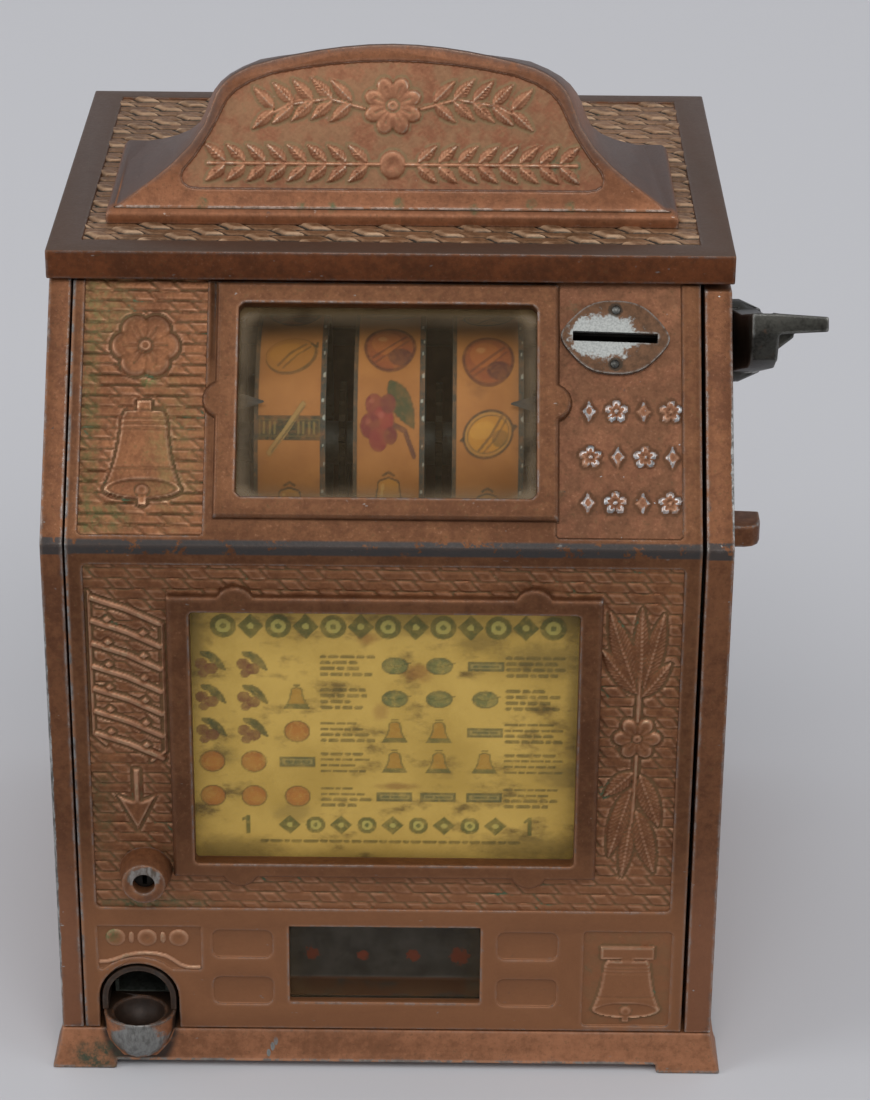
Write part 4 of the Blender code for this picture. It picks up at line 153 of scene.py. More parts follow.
class Graph:
    """The node tree of one material, with the nodes that finishes share."""

    def __init__(self, name: str) -> None:
        """Starts a material with only its output and shader.

        Args:
            name: its name.
        """
        self.material = bpy.data.materials.new(name)
        self.material.use_nodes = True
        self.tree = self.material.node_tree
        self.planes: dict[Plane, tuple[Socket, Socket]] = {}
        self.place = self.node("ShaderNodeTexCoord", output="Object")

    def node(
        self, kind: str, settings: dict | None = None, inputs: dict | None = None, output: int | str = 0
    ) -> Socket:
        """Adds one node.

        Args:
            kind: the node's type.
            settings: its own settings, set before its sockets are filled.
            inputs: values or sockets for its inputs, by name or number.
            output: the output to hand back.

        Returns:
            The wrapped output socket.
        """
        made = self.tree.nodes.new(kind)
        for key, value in (settings or {}).items():
            setattr(made, key, value)
        self.feed(made, inputs or {})
        return Socket(self, made.outputs[output])

    def feed(self, node: bpy.types.Node, inputs: dict) -> None:
        """Links a node's inputs, or sets their values.

        Args:
            node: the node.
            inputs: values or sockets by name or number.
        """
        for key, value in inputs.items():
            if isinstance(value, Socket):
                self.tree.links.new(value.socket, node.inputs[key])
            else:
                node.inputs[key].default_value = value

    def noise(
        self, size: float, detail: float = 3.0, rough: float = 0.55, stretch: Triple = (1, 1, 1), offset: float = 0.0
    ) -> Socket:
        """Noise whose blotches are about size millimetres across.

        Args:
            size: blotch size in millimetres.
            detail: octaves.
            rough: weight of the finer octaves.
            stretch: scale along each axis.
            offset: shift of the pattern, in metres.

        Returns:
            The noise value, about 0.5 on average.
        """
        place = self.place
        if stretch != (1, 1, 1) or offset:
            inputs = {"Vector": place, "Scale": stretch, "Location": (offset,) * 3}
            place = self.node("ShaderNodeMapping", None, inputs)
        inputs = {"Vector": place, "Scale": 1.0 / (size * MM), "Detail": detail, "Roughness": rough}
        return self.node("ShaderNodeTexNoise", None, inputs)

    def mix(self, share: Socket | float, low: Socket | str, high: Socket | str) -> Socket:
        """Colour that goes from low to high, where a text is a screen colour's six figures."""
        ends = [hue(colour) if isinstance(colour, str) else colour for colour in (low, high)]
        return self.node("ShaderNodeMix", {"data_type": "RGBA"}, {0: share, 6: ends[0], 7: ends[1]}, 2)

    def attribute(self, name: str, output: str = "Fac") -> Socket:
        """A number or colour that the mesh carries at its points."""
        return self.node("ShaderNodeAttribute", {"attribute_name": name}, output=output)

    def part(self, vector: Socket, index: int) -> Socket:
        """One coordinate of a vector."""
        return self.node("ShaderNodeSeparateXYZ", None, {0: vector}, index)

    def axis(self, index: int) -> Socket:
        """One coordinate of the place, in metres."""
        return self.part(self.place, index)

    def facing(self, index: int) -> Socket:
        """One part of the surface's true normal."""
        return self.part(self.node("ShaderNodeNewGeometry", output="Normal"), index)

    def on_plane(self, plane: Plane) -> tuple[Socket, Socket]:
        """Places across and up a plane, in millimetres.

        Args:
            plane: the plane.

        Returns:
            Both places.
        """
        if plane not in self.planes:
            back = plane.matrix().inverted()
            turned = {"Location": back.translation, "Rotation": back.to_euler(), "Scale": back.to_scale()}
            local = self.node("ShaderNodeMapping", None, {"Vector": self.place, **turned})
            self.planes[plane] = (self.part(local, 0), self.part(local, 1))
        return self.planes[plane]

    def spot(
        self, plane: Plane, centre: Pair, half: Pair, ragged: Socket | float = 0.0, soft: float = 0.1
    ) -> Socket:
        """Oval patch on a plane.

        Args:
            plane: the plane.
            centre: middle of the patch.
            half: half width and half height.
            ragged: what is added to the distance, to break up the outline.
            soft: half width of its soft edge, as a share of its size.

        Returns:
            1 in the patch, 0 outside.
        """
        x, y = ((place - middle) / size for place, middle, size in zip(self.on_plane(plane), centre, half))
        return ((x * x + y * y) ** 0.5 + ragged).ramp(0.98 + soft, 0.98 - soft)

    def corner(self, reach: float, inside: bool) -> Socket:
        """How near an edge or a hollow is, towards 1 at the corner.

        Args:
            reach: distance in millimetres.
            inside: looks for outer edges, else for hollows.

        Returns:
            0 on open faces, towards 1 at the corner.
        """
        settings = {"inside": inside, "only_local": True, "samples": 6}
        return 1.0 - self.node("ShaderNodeAmbientOcclusion", settings, {"Distance": reach * MM}, "AO")

    def bump(self, height: Socket, depth: float, **over: Socket) -> Socket:
        """Bump of that depth in millimetres, over an earlier Normal where one is given."""
        return self.node("ShaderNodeBump", None, {"Height": height, "Distance": depth * MM, **over}, "Normal")

    def surface(self, **inputs: Socket | float | tuple) -> Material:
        """Fills the shader's sockets, named with underscores for blanks.

        Args:
            inputs: sockets or values.

        Returns:
            The finished material.
        """
        shader = self.tree.nodes["Principled BSDF"]
        self.feed(shader, {key.replace("_", " "): value for key, value in inputs.items()})
        return self.material


@dataclass(frozen=True)
class Rub:
    """Place on a plane where hands or coins have rubbed the paint off."""

    plane: Plane
    centre: Pair
    half: Pair
    behind: float = SHIFT_Y * MM


@dataclass(frozen=True)
class StainOrShade:
    """Place on a plane that is discoloured; with a limit it is painted shade, laid only on faces turned further back
    than it.
    """

    plane: Plane
    centre: Pair
    half: Pair
    colour: str
    amount: float
    turned: float | None = None
    behind: float = 0.2


def stains(plane: Plane, *rows: tuple) -> tuple[StainOrShade, ...]:
    """Stains on one plane, or painted shade where a row gives a limit, each row its middle, its half size and its
    other values.
    """
    return tuple(StainOrShade(plane, row[:2], row[2:4], *row[4:]) for row in rows)


@dataclass(frozen=True)
class CopperPaint:
    """Bronze powder paint on cast metal, rubbed through at its edges and dirty in its hollows, with painted shade in
    the hollows, painted highlights on edges and crests, and, where a foot colour is given, painted light towards the
    bottom.
    """

    name: str
    light: str = "8a5b3b"
    deep: str = "694229"
    bare: str = "8c8d8c"
    bare_deep: str = "5f5e5b"
    tarnish: str = "33383a"
    dirt_and_shade: str = "4b3c24"
    green: str = "45573d"
    polish_and_highlight: str = "b98d70"
    wear: float = 0.5
    dirt_and_shade_amount: float = 0.5
    greenness: float = 0.4
    metal: float = 0.72
    gloss: float = 0.42
    edges: bool = True
    knee: bool = False
    dusty_top: float = 0.0
    dust: str = "625248"
    dust_behind: float = -1.0
    # Colour of painted light towards the bottom, where the floor throws light up; none if empty.
    foot: str = ""
    rim: float = 0.0
    rim_above: float = 0.0
    rubs: tuple[Rub, ...] = ()
    stains: tuple[StainOrShade, ...] = ()

    def material(self) -> Material:
        """Builds the node material.

        Returns:
            The material.
        """
        graph = Graph(self.name)
        noise, mix, corner, axis, facing = graph.noise, graph.mix, graph.corner, graph.axis, graph.facing
        broad, blotch = noise(40.0, 4.0), noise(6.0, 4.0, offset=0.31)
        fine, speck = noise(0.9, 2.0, offset=0.77), noise(2.2, 3.0, 0.65, offset=1.9)
        tone = broad * 0.35 + blotch * 0.30 + speck * 0.35
        colour = mix(tone.ramp(0.38, 0.64), self.deep, self.light)
        colour = mix(fine.ramp(0.58, 0.76) * 0.4, colour, self.dirt_and_shade)
        colour = mix(speck.ramp(0.60, 0.72) * 0.35, colour, self.dirt_and_shade)
        colour = mix(fine.ramp(0.38, 0.24) * 0.14, colour, self.polish_and_highlight)
        metallic = self.metal
        # Painted light: lighter and less metallic towards the bottom, for the light thrown up from the floor.
        if self.foot:
            low = axis(2).ramp(0.096, 0.045)
            colour = mix(low * 0.75, colour, self.foot)
            metallic = metallic - 0.3 * low

        hollow, crest = graph.attribute("hollow"), graph.attribute("crest")
        near, wide = crest, crest * 0.4
        if self.edges:
            hollow = hollow.most(corner(3.2, False).ramp(0.14, 0.6))
            near, wide = corner(1.3, True).ramp(0.07, 0.34), corner(3.0, True).ramp(0.12, 0.55)
        # Dirt in the hollows and inner corners, which also paints the shade that falls there.
        grime_and_shade = (hollow * 1.25 * blotch.ramp(0.25, 0.6)).ramp(0.15, 0.75)
        colour = mix(grime_and_shade * self.dirt_and_shade_amount, colour, self.dirt_and_shade)
        patches = noise(12.0, 5.0, 0.7, offset=3.3).ramp(0.62 - 0.08 * self.greenness, 0.74)
        moss = patches * (hollow * 1.2 + 0.10) * self.greenness
        colour = mix(moss.ramp(0.02, 0.5), colour, self.green)

        scuffs = noise(5.0, 6.0, 0.72, offset=5.1)
        tarnished = (wide * 0.55 + scuffs.ramp(0.64, 0.73) * 0.45) * scuffs.ramp(0.46, 0.62)
        if self.knee:
            band = abs(axis(2) - (KNEE_HEIGHT - 0.6) * MM).ramp(0.0031, 0.0014)
            band = band * axis(1).ramp(SHIFT_Y * MM + 0.006, SHIFT_Y * MM + 0.003)
            tarnished = tarnished + band * noise(7.0, 5.0, 0.75, offset=2.2).ramp(0.36, 0.46)
        if self.rim:
            border = corner(3.4, True).ramp(0.10, 0.42) * blotch.ramp(0.28, 0.45)
            border = border * axis(2).ramp(self.rim_above - 0.002, self.rim_above + 0.004)
            tarnished = tarnished + border * self.rim
        tarnished = (tarnished * max(self.wear, 0.5) * 2.0).ramp(0.25, 0.85)
        colour = mix(tarnished * 0.85, colour, self.tarnish)

        # Paint rubbed through to bare metal at edges, by nicks and by rubs; at edges the bare metal is also a painted
        # highlight.
        bared = (near * scuffs.ramp(0.36, 0.60) * (0.35 + self.wear)).ramp(0.30, 0.66)
        nicks = noise(3.4, 2.0, 0.6, (1.0, 1.0, 2.2), 8.8).ramp(0.735, 0.765)
        bared = bared.most(nicks * self.wear)
        for rub in self.rubs:
            worn = graph.spot(rub.plane, rub.centre, rub.half, scuffs * 1.3 - 0.6)
            ahead = facing(1).ramp(-0.15, -0.4) * axis(1).ramp(rub.behind - 0.0002, rub.behind - 0.0012)
            bared = bared.most(worn * ahead)
        metal = mix(noise(1.4, 4.0, 0.7, (1.0, 1.0, 0.35), 6.3).ramp(0.35, 0.62), self.bare_deep, self.bare)
        # Edges are lightened a little everywhere as painted highlight, and bare metal shows where the paint is rubbed
        # through.
        colour = mix(bared, mix(near * 0.45, colour, self.polish_and_highlight), metal)
        # Crests are lightened, as polish that is also a painted highlight.
        colour = mix(crest * blotch.ramp(0.3, 0.7) * 0.5, colour, self.polish_and_highlight)
        if self.dusty_top:
            top = facing(2).ramp(0.40, 0.90) * (0.75 + blotch * 0.4)
            top = top * axis(1).ramp(self.dust_behind - 0.002, self.dust_behind + 0.002)
            colour = mix(top * self.dusty_top, colour, self.dust)
        patchy = noise(3.2, 5.0, 0.72, offset=12.6).ramp(0.40, 0.62)
        for stain in self.stains:
            if stain.turned is None:
                share = graph.spot(stain.plane, stain.centre, stain.half, scuffs * 1.6 - 0.75, 0.5)
                share = share * (0.2 + 0.8 * patchy)
            else:
                # Painted shade: only faces turned back or up, away from edges, are darkened.
                inward = facing(1).ramp(stain.turned - 0.2, stain.turned).most(facing(2).ramp(0.05, 0.2))
                share = graph.spot(stain.plane, stain.centre, stain.half) * (inward * (1.0 - near))
            share = share * axis(1).ramp(stain.behind, stain.behind - 0.004)
            colour = mix(share * stain.amount, colour, stain.colour)
        if self.edges:
            # Painted shade: the deepest hollows, such as the gum cup's bowl, go nearly black.
            colour = mix(corner(9.0, False).ramp(0.80, 0.97), colour, "0f0a07")
        rough = self.gloss + 0.16 * fine + 0.25 * grime_and_shade - 0.14 * bared
        metallic = metallic - 0.55 * grime_and_shade * self.dirt_and_shade_amount - 0.3 * moss.ramp(0.05, 0.5)
        normal = graph.bump(scuffs, 0.08, Normal=graph.bump(fine * 0.6 + speck * 0.4, 0.09))
        return graph.surface(Base_Color=colour, Roughness=rough, Metallic=metallic.most(0.0), Normal=normal)


@dataclass(frozen=True)
class PlainMetal:
    """Bare or plated metal with streaks, stains and small pits."""

    name: str
    light: str
    deep: str
    stain: str
    stains: float
    metal: float
    gloss: float
    bright_edge: str = ""

    def material(self) -> Material:
        """Builds the node material.

        Returns:
            The material.
        """
        graph = Graph(self.name)
        blotch, fine = graph.noise(6.0, 5.0), graph.noise(0.9)
        colour = graph.mix((blotch * 0.6 + fine * 0.4).ramp(0.36, 0.62), self.deep, self.light)
        stained = graph.noise(4.0, 6.0, 0.7, offset=4.2).ramp(0.64 - 0.2 * self.stains, 0.72)
        # Outer edges are lighter: worn bare steel that is also a painted highlight, as on the lever's tab and the
        # pointers.
        if self.bright_edge:
            worn = graph.corner(1.4, True).ramp(0.16, 0.5)
            colour = graph.mix(worn * blotch.ramp(0.3, 0.5), colour, self.bright_edge)
            stained = stained * (1.0 - worn)
        colour = graph.mix(stained * min(1.0, 2 * self.stains), colour, self.stain)
        rough = self.gloss + 0.2 * fine + 0.3 * stained * self.stains
        metallic = self.metal - 0.5 * stained * self.stains
        return graph.surface(Base_Color=colour, Roughness=rough, Metallic=metallic, Normal=graph.bump(fine, 0.04))


@dataclass(frozen=True)
class SlotPlateMetal:
    """Painted slot plate that coins have rubbed bare round the slot."""

    name: str
    centre: Pair
    screw_reach: float

    def material(self) -> Material:
        """Builds the node material.

        Returns:
            The material.
        """
        graph, (x, y) = Graph(self.name), self.centre
        cloud, fine = graph.noise(3.0, 5.0, 0.7), graph.noise(0.7, 3.0)
        colour = graph.mix(cloud.ramp(0.35, 0.65), "503620", "6b4a31")
        middle = graph.spot(SLOPE, (x - 3.4, y + 0.4), (10.4, 7.6), cloud * 1.5 - 0.75)
        bared = middle.most(graph.corner(1.0, True).ramp(0.10, 0.42) * cloud.ramp(0.35, 0.52))
        colour = graph.mix(bared, colour, graph.mix(fine.ramp(0.35, 0.65), "7f817f", "9a9c99"))
        for reach in (-self.screw_reach, self.screw_reach):
            seat = graph.spot(SLOPE, (x, y + reach), (2.3, 2.2), fine * 0.4 - 0.2)
            colour = graph.mix(seat * 0.85, colour, "352a1c")
        colour = graph.mix(fine.ramp(0.64, 0.74) * 0.6, colour, "4d4a42")
        rough, metallic = 0.50 - 0.12 * bared + 0.2 * fine, 0.45 + 0.3 * bared
        return graph.surface(Base_Color=colour, Roughness=rough, Metallic=metallic, Normal=graph.bump(fine, 0.05))


@dataclass(frozen=True)
class TrayMetal:
    """Dull sheet metal of the coin tray, with rust spots behind its window and a brown ledge."""

    name: str
    spots: tuple[Triple, ...] = ((-25.0, 29.6, 2.5), (-8.2, 28.9, 1.9), (8.4, 29.1, 2.4), (23.9, 28.9, 3.5))

    def material(self) -> Material:
        """Builds the node material.

        Returns:
            The material.
        """
        graph = Graph(self.name)
        cloud, fine = graph.noise(9.0, 4.0), graph.noise(1.2, 4.0, 0.7)
        colour = graph.mix((cloud * 0.7 + fine * 0.3).ramp(0.35, 0.65), "3c3a35", "57544e")
        colour = graph.mix(graph.facing(2).ramp(0.4, 0.8) * cloud.ramp(0.25, 0.5), colour, "5a3822")
        for across, up, size in self.spots:
            rust = graph.spot(FRONT, (across, up), (size, size), fine * 2.4 - 1.1)
            colour = graph.mix(rust * 0.8, colour, "93442a")
        rough = 0.62 + 0.2 * fine
        return graph.surface(Base_Color=colour, Roughness=rough, Metallic=0.35, Normal=graph.bump(fine, 0.05))


@dataclass(frozen=True)
class Glass:
    """Old window glass under a film of dust, thickest along its edges."""

    name: str
    plane: Plane
    centre: Pair
    half: Pair
    film: float
    edge_film: float
    shine: float = 0.35
    tint: str = "7a6545"

    def material(self) -> Material:
        """Builds the node material.

        Returns:
            The material.
        """
        graph = Graph(self.name)
        side, end = (
            abs(place - middle).ramp(half - border, half)
            for place, middle, half, border in zip(graph.on_plane(self.plane), self.centre, self.half, (9.0, 7.0))
        )
        cloud, fine = graph.noise(14.0, 5.0, 0.6), graph.noise(1.6, 4.0, 0.7)
        border = side.most(end) * 0.35 + (side + end - 0.55).ramp(0.0, 1.1)
        dust = self.film * (0.5 + cloud) + self.edge_film * border * cloud.ramp(0.25, 0.55)
        dust = dust + fine.ramp(0.68, 0.75) * 0.12
        return graph.surface(
            Base_Color=hue(self.tint), Roughness=0.10 + 0.25 * cloud, Alpha=dust, Specular_IOR_Level=self.shine
        )


@dataclass(frozen=True)
class Paper:
    """Aged paper, browned in blotches, with the ink that its points carry."""

    name: str
    light: str
    deep: str
    stain: str
    stains: float = 0.4
    faded: float = 0.5
    marks: tuple[StainOrShade, ...] = ()

    def material(self) -> Material:
        """Builds the node material.

        Returns:
            The material.
        """
        graph = Graph(self.name)
        broad, fine = graph.noise(26.0, 4.0), graph.noise(0.8, 3.0, 0.6)
        ground = graph.mix((broad * 0.8 + fine * 0.2).ramp(0.35, 0.65), self.deep, self.light)
        stained = graph.noise(15.0, 6.0, 0.62, (1.0, 1.0, 1.7), 1.3).ramp(0.60 - 0.10 * self.stains, 0.72)
        ground = graph.mix(stained * self.stains, ground, self.stain)
        flecks = graph.noise(2.0, 4.0, 0.7, offset=9.4).ramp(0.67, 0.73) * stained.most(0.25)
        ground = graph.mix(flecks * 0.8, ground, "4a3018")
        ragged = graph.noise(5.0, 5.0, 0.68, (1.0, 1.0, 1.6), 3.7) * 1.8 - 0.9
        for mark in self.marks:
            share = graph.spot(mark.plane, mark.centre, mark.half, ragged, 0.6)
            ground = graph.mix(share * mark.amount, ground, mark.colour)
        worn = graph.noise(1.6, 4.0, 0.7, offset=0.6).ramp(0.46, 0.72) * self.faded
        dense = 0.72 + 0.28 * graph.noise(5.0, 3.0, offset=2.4).ramp(0.3, 0.6)
        cover = graph.attribute("ink", "Alpha") * (1.0 - worn) * dense
        colour = graph.mix(cover, ground, graph.attribute("ink", "Color"))
        return graph.surface(Base_Color=colour, Roughness=0.62 + 0.2 * fine, Normal=graph.bump(fine, 0.03))


@dataclass(frozen=True)
class Piece:
    """What a piece is called, and the body, the slot and the CAD node that it belongs to."""

    name: str
    body: Body = Body.CASE
    slot: str = "copper_paint"
    node: str = ""
    smooth: float | None = 35.0

    def finish(self, tool: BMesh, material: Material, shape: Callable[[Mesh], None] | None = None) -> None:
        """Makes an object of a finished mesh and lets it ride on its body.

        Args:
            tool: the mesh, in place; it is freed.
            material: its finish.
            shape: moves and marks the mesh's points, where they are many.
        """
        mesh = bpy.data.meshes.new(self.name)
        tool.to_mesh(mesh)
        tool.free()
        if shape is not None:
            shape(mesh)
        if self.smooth is not None:
            mesh.shade_smooth()
            mesh.set_sharp_from_angle(angle=math.radians(self.smooth))
        mesh.materials.append(material)
        piece = bpy.data.objects.new(self.name, mesh)
        bpy.context.scene.collection.objects.link(piece)
        LOG.info("%s: %d faces", self.name, len(mesh.polygons))
        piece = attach(piece, self.body.value)
        if self.node:
            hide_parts(self.node)

    def soften(
        self, material: Material, width: float = 0.45, segments: int = 2, angle: float = 28.0, merge: float = 0.002
    ) -> None:
        """Stands for the casting with a copy whose edges are rounded over.

        Args:
            material: its finish.
            width: width of the rounding in millimetres.
            segments: steps of the rounding.
            angle: smallest angle in degrees of an edge that is rounded.
            merge: points in millimetres from each other that become one first.
        """
        tool = bmesh.new()
        tool.from_mesh(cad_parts[self.node].data)
        bmesh.ops.remove_doubles(tool, verts=tool.verts, dist=merge * MM)
        edges = [edge for edge in tool.edges if edge.calc_face_angle(0.0) > math.radians(angle)]
        round_over(tool, edges, width * MM, segments, clamp_overlap=False)
        bmesh.ops.triangulate(tool, faces=tool.faces[:], quad_method="BEAUTY", ngon_method="EAR_CLIP")
        self.finish(tool, material)


def round_over(
    tool: BMesh, geom: list, offset: float, segments: int, affect: str = "EDGES", clamp_overlap: bool = True
) -> None:
    """Rounds edges or points over.

    Args:
        tool: the mesh.
        geom: the edges or points.
        offset: width of the rounding.
        segments: its steps.
        affect: which of the two they are.
        clamp_overlap: whether it narrows where two roundings would meet.
    """
    how = {"profile": 0.5, "affect": affect, "material": -1, "clamp_overlap": clamp_overlap}
    bmesh.ops.bevel(tool, geom=geom, offset=offset, segments=segments, **how)


def picked(parts: list, kind: type) -> list:
    """Those parts of a mesh that are of one kind."""
    return [part for part in parts if isinstance(part, kind)]


def open_grid(bounds: tuple[float, ...], step: float) -> BMesh:
    """Makes a flat grid.

    Args:
        bounds: its left, right, low and high limit.
        step: size of a face.

    Returns:
        The mesh.
    """
    left, right, low, high = bounds
    tool = bmesh.new()
    stretch = Matrix.Diagonal((right - left, high - low, 1.0, 1.0))
    middle = Matrix.Translation(((left + right) / 2, (low + high) / 2, 0.0))
    columns, rows = round((right - left) / step), round((high - low) / step)
    bmesh.ops.create_grid(tool, x_segments=columns, y_segments=rows, size=0.5, matrix=middle @ stretch)
    return tool


def rim_of(tool: BMesh) -> tuple[list, list]:
    """Extrudes a sheet's rim in place.

    Args:
        tool: the sheet.

    Returns:
        The new points and the new edges.
    """
    rim = [edge for edge in tool.edges if edge.is_boundary]
    made = bmesh.ops.extrude_edge_only(tool, edges=rim)["geom"]
    return picked(made, BMVert), picked(made, BMEdge)


def points_of(mesh: Mesh) -> Array:
    """Reads where a mesh's points are.

    Args:
        mesh: the mesh.

    Returns:
        Their places, one row each.
    """
    flat = np.empty(len(mesh.vertices) * 3)
    mesh.vertices.foreach_get("co", flat)
    return flat.reshape(-1, 3)


def mark_points(mesh: Mesh, name: str, kind: str, values: Array) -> None:
    """Gives every point of a mesh its own number or colour."""
    layer = mesh.attributes.new(name, kind, "POINT")
    layer.data.foreach_set("color" if kind == "FLOAT_COLOR" else "value", values.astype(np.float32).ravel())


def eased(value: Array, low: float, high: float) -> Array:
    """Smooth step from 0 at low to 1 at high."""
    share = np.clip((value - low) / (high - low), 0.0, 1.0)
    return share * share * (3.0 - 2.0 * share)


def root(value: Array) -> Array:
    """Square root, 0 under 0."""
    return np.sqrt(np.clip(value, 0, 1))


def hill(value: Array, width: float) -> Array:
    """Bell curve that is 1 at 0."""
    return np.exp(-((value / width) ** 2))


def beside(x: Array, y: Array, start: Pair, end: Pair) -> Array:
    """Distance of points from a straight piece of line.

    Args:
        x: the points' places across.
        y: their places up.
        start: one end of the line.
        end: its other end.

    Returns:
        The distances.
    """
    run, rise = end[0] - start[0], end[1] - start[1]
    share = np.clip(((x - start[0]) * run + (y - start[1]) * rise) / (run**2 + rise**2), 0, 1)
    return np.hypot(x - start[0] - share * run, y - start[1] - share * rise)


class Relief:
    """A low relief that gives its height in millimetres at points of a plane."""

    def height_at(self, across: Array, up: Array) -> Array:
        """Height above the ground, 0 outside the shape.

        Args:
            across: the points' places across.
            up: their places up.

        Returns:
            The heights.
        """
        raise NotImplementedError


@dataclass(frozen=True)
class Weave(Relief):
    """Basket weave: level strands with slanting strands over every second one."""

    row: float = 3.6
    pitch: float = 8.85
    strand: float = 5.6
    slant: float = 0.80
    height: float = 0.75
    cut: float = 0.85
    low: float = 0.72

    def height_at(self, across: Array, up: Array) -> Array:
        """Height of the weave.

        Args:
            across: the points' places across.
            up: their places up.

        Returns:
            The heights.
        """
        line = np.floor(up / self.row)
        part = np.abs(2 * (up / self.row - line) - 1)
        column = (across + up * self.slant) / self.pitch
        strand = np.floor(column)
        off = np.abs(column - strand - 0.5) * self.pitch / (self.strand / 2)
        near = (line + strand) % 2 == 0
        dip = np.where(near, eased(off, 1.0, 1.5), 1.0)
        level = self.low * (1.0 - part**5) * (1.0 - self.cut * (1.0 - dip))
        slanted = np.clip((1.0 - self.cut * off**4) * (1.0 - 0.3 * part**6), 0, 1)
        uneven = 0.9 + 0.1 * np.sin(line * 12.9 + strand * 7.3)
        return self.height * uneven * np.where(near & (off < 1.0), slanted, level)


@dataclass(frozen=True)
class Flower(Relief):
    """Open flower with crowned petals round a button."""

    centre: Pair
    radius: float
    petals: int
    turn: float
    height: float
    slim: float

    def height_at(self, across: Array, up: Array) -> Array:
        """Height of the flower.

        Args:
            across: the points' places across.
            up: their places up.

        Returns:
            The heights.
        """
        x, y = across - self.centre[0], up - self.centre[1]
        total = np.zeros_like(x)
        long, wide = 0.43 * self.radius, 0.36 * self.radius * self.slim
        for index in range(self.petals):
            angle = math.radians(self.turn + 360.0 * index / self.petals)
            along = x * math.cos(angle) + y * math.sin(angle) - 0.58 * self.radius
            aside = -x * math.sin(angle) + y * math.cos(angle)
            spread = np.clip((along / long) ** 2 + (aside / wide) ** 2, 0, 1)
            vein = 0.16 * hill(aside, 0.45) * (along < 0.2 * long)
            total = np.maximum(total, (np.sqrt(1 - spread**2) - vein) * (spread < 1))
        reach = np.hypot(x, y) / (0.21 * self.radius)
        return self.height * np.maximum(total, root(1 - reach**4) * (1.12 - 0.3 * hill(reach, 0.5)))


@dataclass(frozen=True)
class Leaf(Relief):
    """Pointed leaf with a midrib and side veins."""

    base: Pair
    tip: Pair
    width: float
    height: float = 1.05
    veins: float = 1.5

    def height_at(self, across: Array, up: Array) -> Array:
        """Height of the leaf.

        Args:
            across: the points' places across.
            up: their places up.

        Returns:
            The heights.
        """
        run, rise = self.tip[0] - self.base[0], self.tip[1] - self.base[1]
        length = math.hypot(run, rise)
        x, y = across - self.base[0], up - self.base[1]
        along, aside = (x * run + y * rise) / length, (-x * rise + y * run) / length
        share = np.clip(along / length, 0.0, 1.0)
        notch = 1.0 - 0.10 * np.abs(np.sin(math.pi * along / self.veins))
        half = self.width / 2 * np.sin(math.pi * share**0.8) ** 0.8 * notch + 1e-6
        inside = (np.abs(aside) < half) & (along > 0) & (along < length)
        dome = root(1 - (aside / half) ** 2) * (0.45 + 0.55 * np.sin(math.pi * share) ** 0.5)
        side = 0.14 * np.sin(2 * math.pi * (along - 1.1 * np.abs(aside)) / self.veins)
        crowned = np.clip(dome * 0.8 + 0.28 * hill(aside, 0.32) + side * dome, 0, None)
        return self.height * np.where(inside, crowned, 0.0)


@dataclass(frozen=True)
class Stroke(Relief):
    """Half-round bar along a line of points."""

    points: tuple[Pair, ...]
    width: float
    height: float = 0.8

    def height_at(self, across: Array, up: Array) -> Array:
        """Height of the bar.

        Args:
            across: the points' places across.
            up: their places up.

        Returns:
            The heights.
        """
        near = np.min([beside(across, up, *ends) for ends in zip(self.points, self.points[1:])], axis=0)
        return self.height * root(1 - (2 * near / self.width) ** 2)


@dataclass(frozen=True)
class Plate(Relief):
    """Flat-topped shape with sloping sides round a closed outline."""

    outline: tuple[Pair, ...]
    height: float = 1.0
    slope: float = 0.9

    def height_at(self, across: Array, up: Array) -> Array:
        """Height of the shape.

        Args:
            across: the points' places across.
            up: their places up.

        Returns:
            The heights.
        """
        sides = list(zip(self.outline, self.outline[1:] + self.outline[:1]))
        near = np.min([beside(across, up, *ends) for ends in sides], axis=0)
        inside = np.zeros_like(across, dtype=bool)
        for (x0, y0), (x1, y1) in sides:
            if y0 != y1:
                crossing = x0 + (up - y0) / (y1 - y0) * (x1 - x0)
                inside ^= ((y0 > up) != (y1 > up)) & (across < crossing)
        return np.where(inside, self.height * eased(near, 0.0, self.slope), 0.0)


@dataclass(frozen=True)
class Disc(Relief):
    """Round or oval boss with a crowned face."""

    centre: Pair
    radius: Pair
    height: float = 1.0
    dish: float = 0.0

    def height_at(self, across: Array, up: Array) -> Array:
        """Height of the boss.

        Args:
            across: the points' places across.
            up: their places up.

        Returns:
            The heights.
        """
        reach = np.hypot((across - self.centre[0]) / self.radius[0], (up - self.centre[1]) / self.radius[1])
        return self.height * (root(1 - reach**3) - self.dish * hill(reach, 0.45) * (reach < 1))


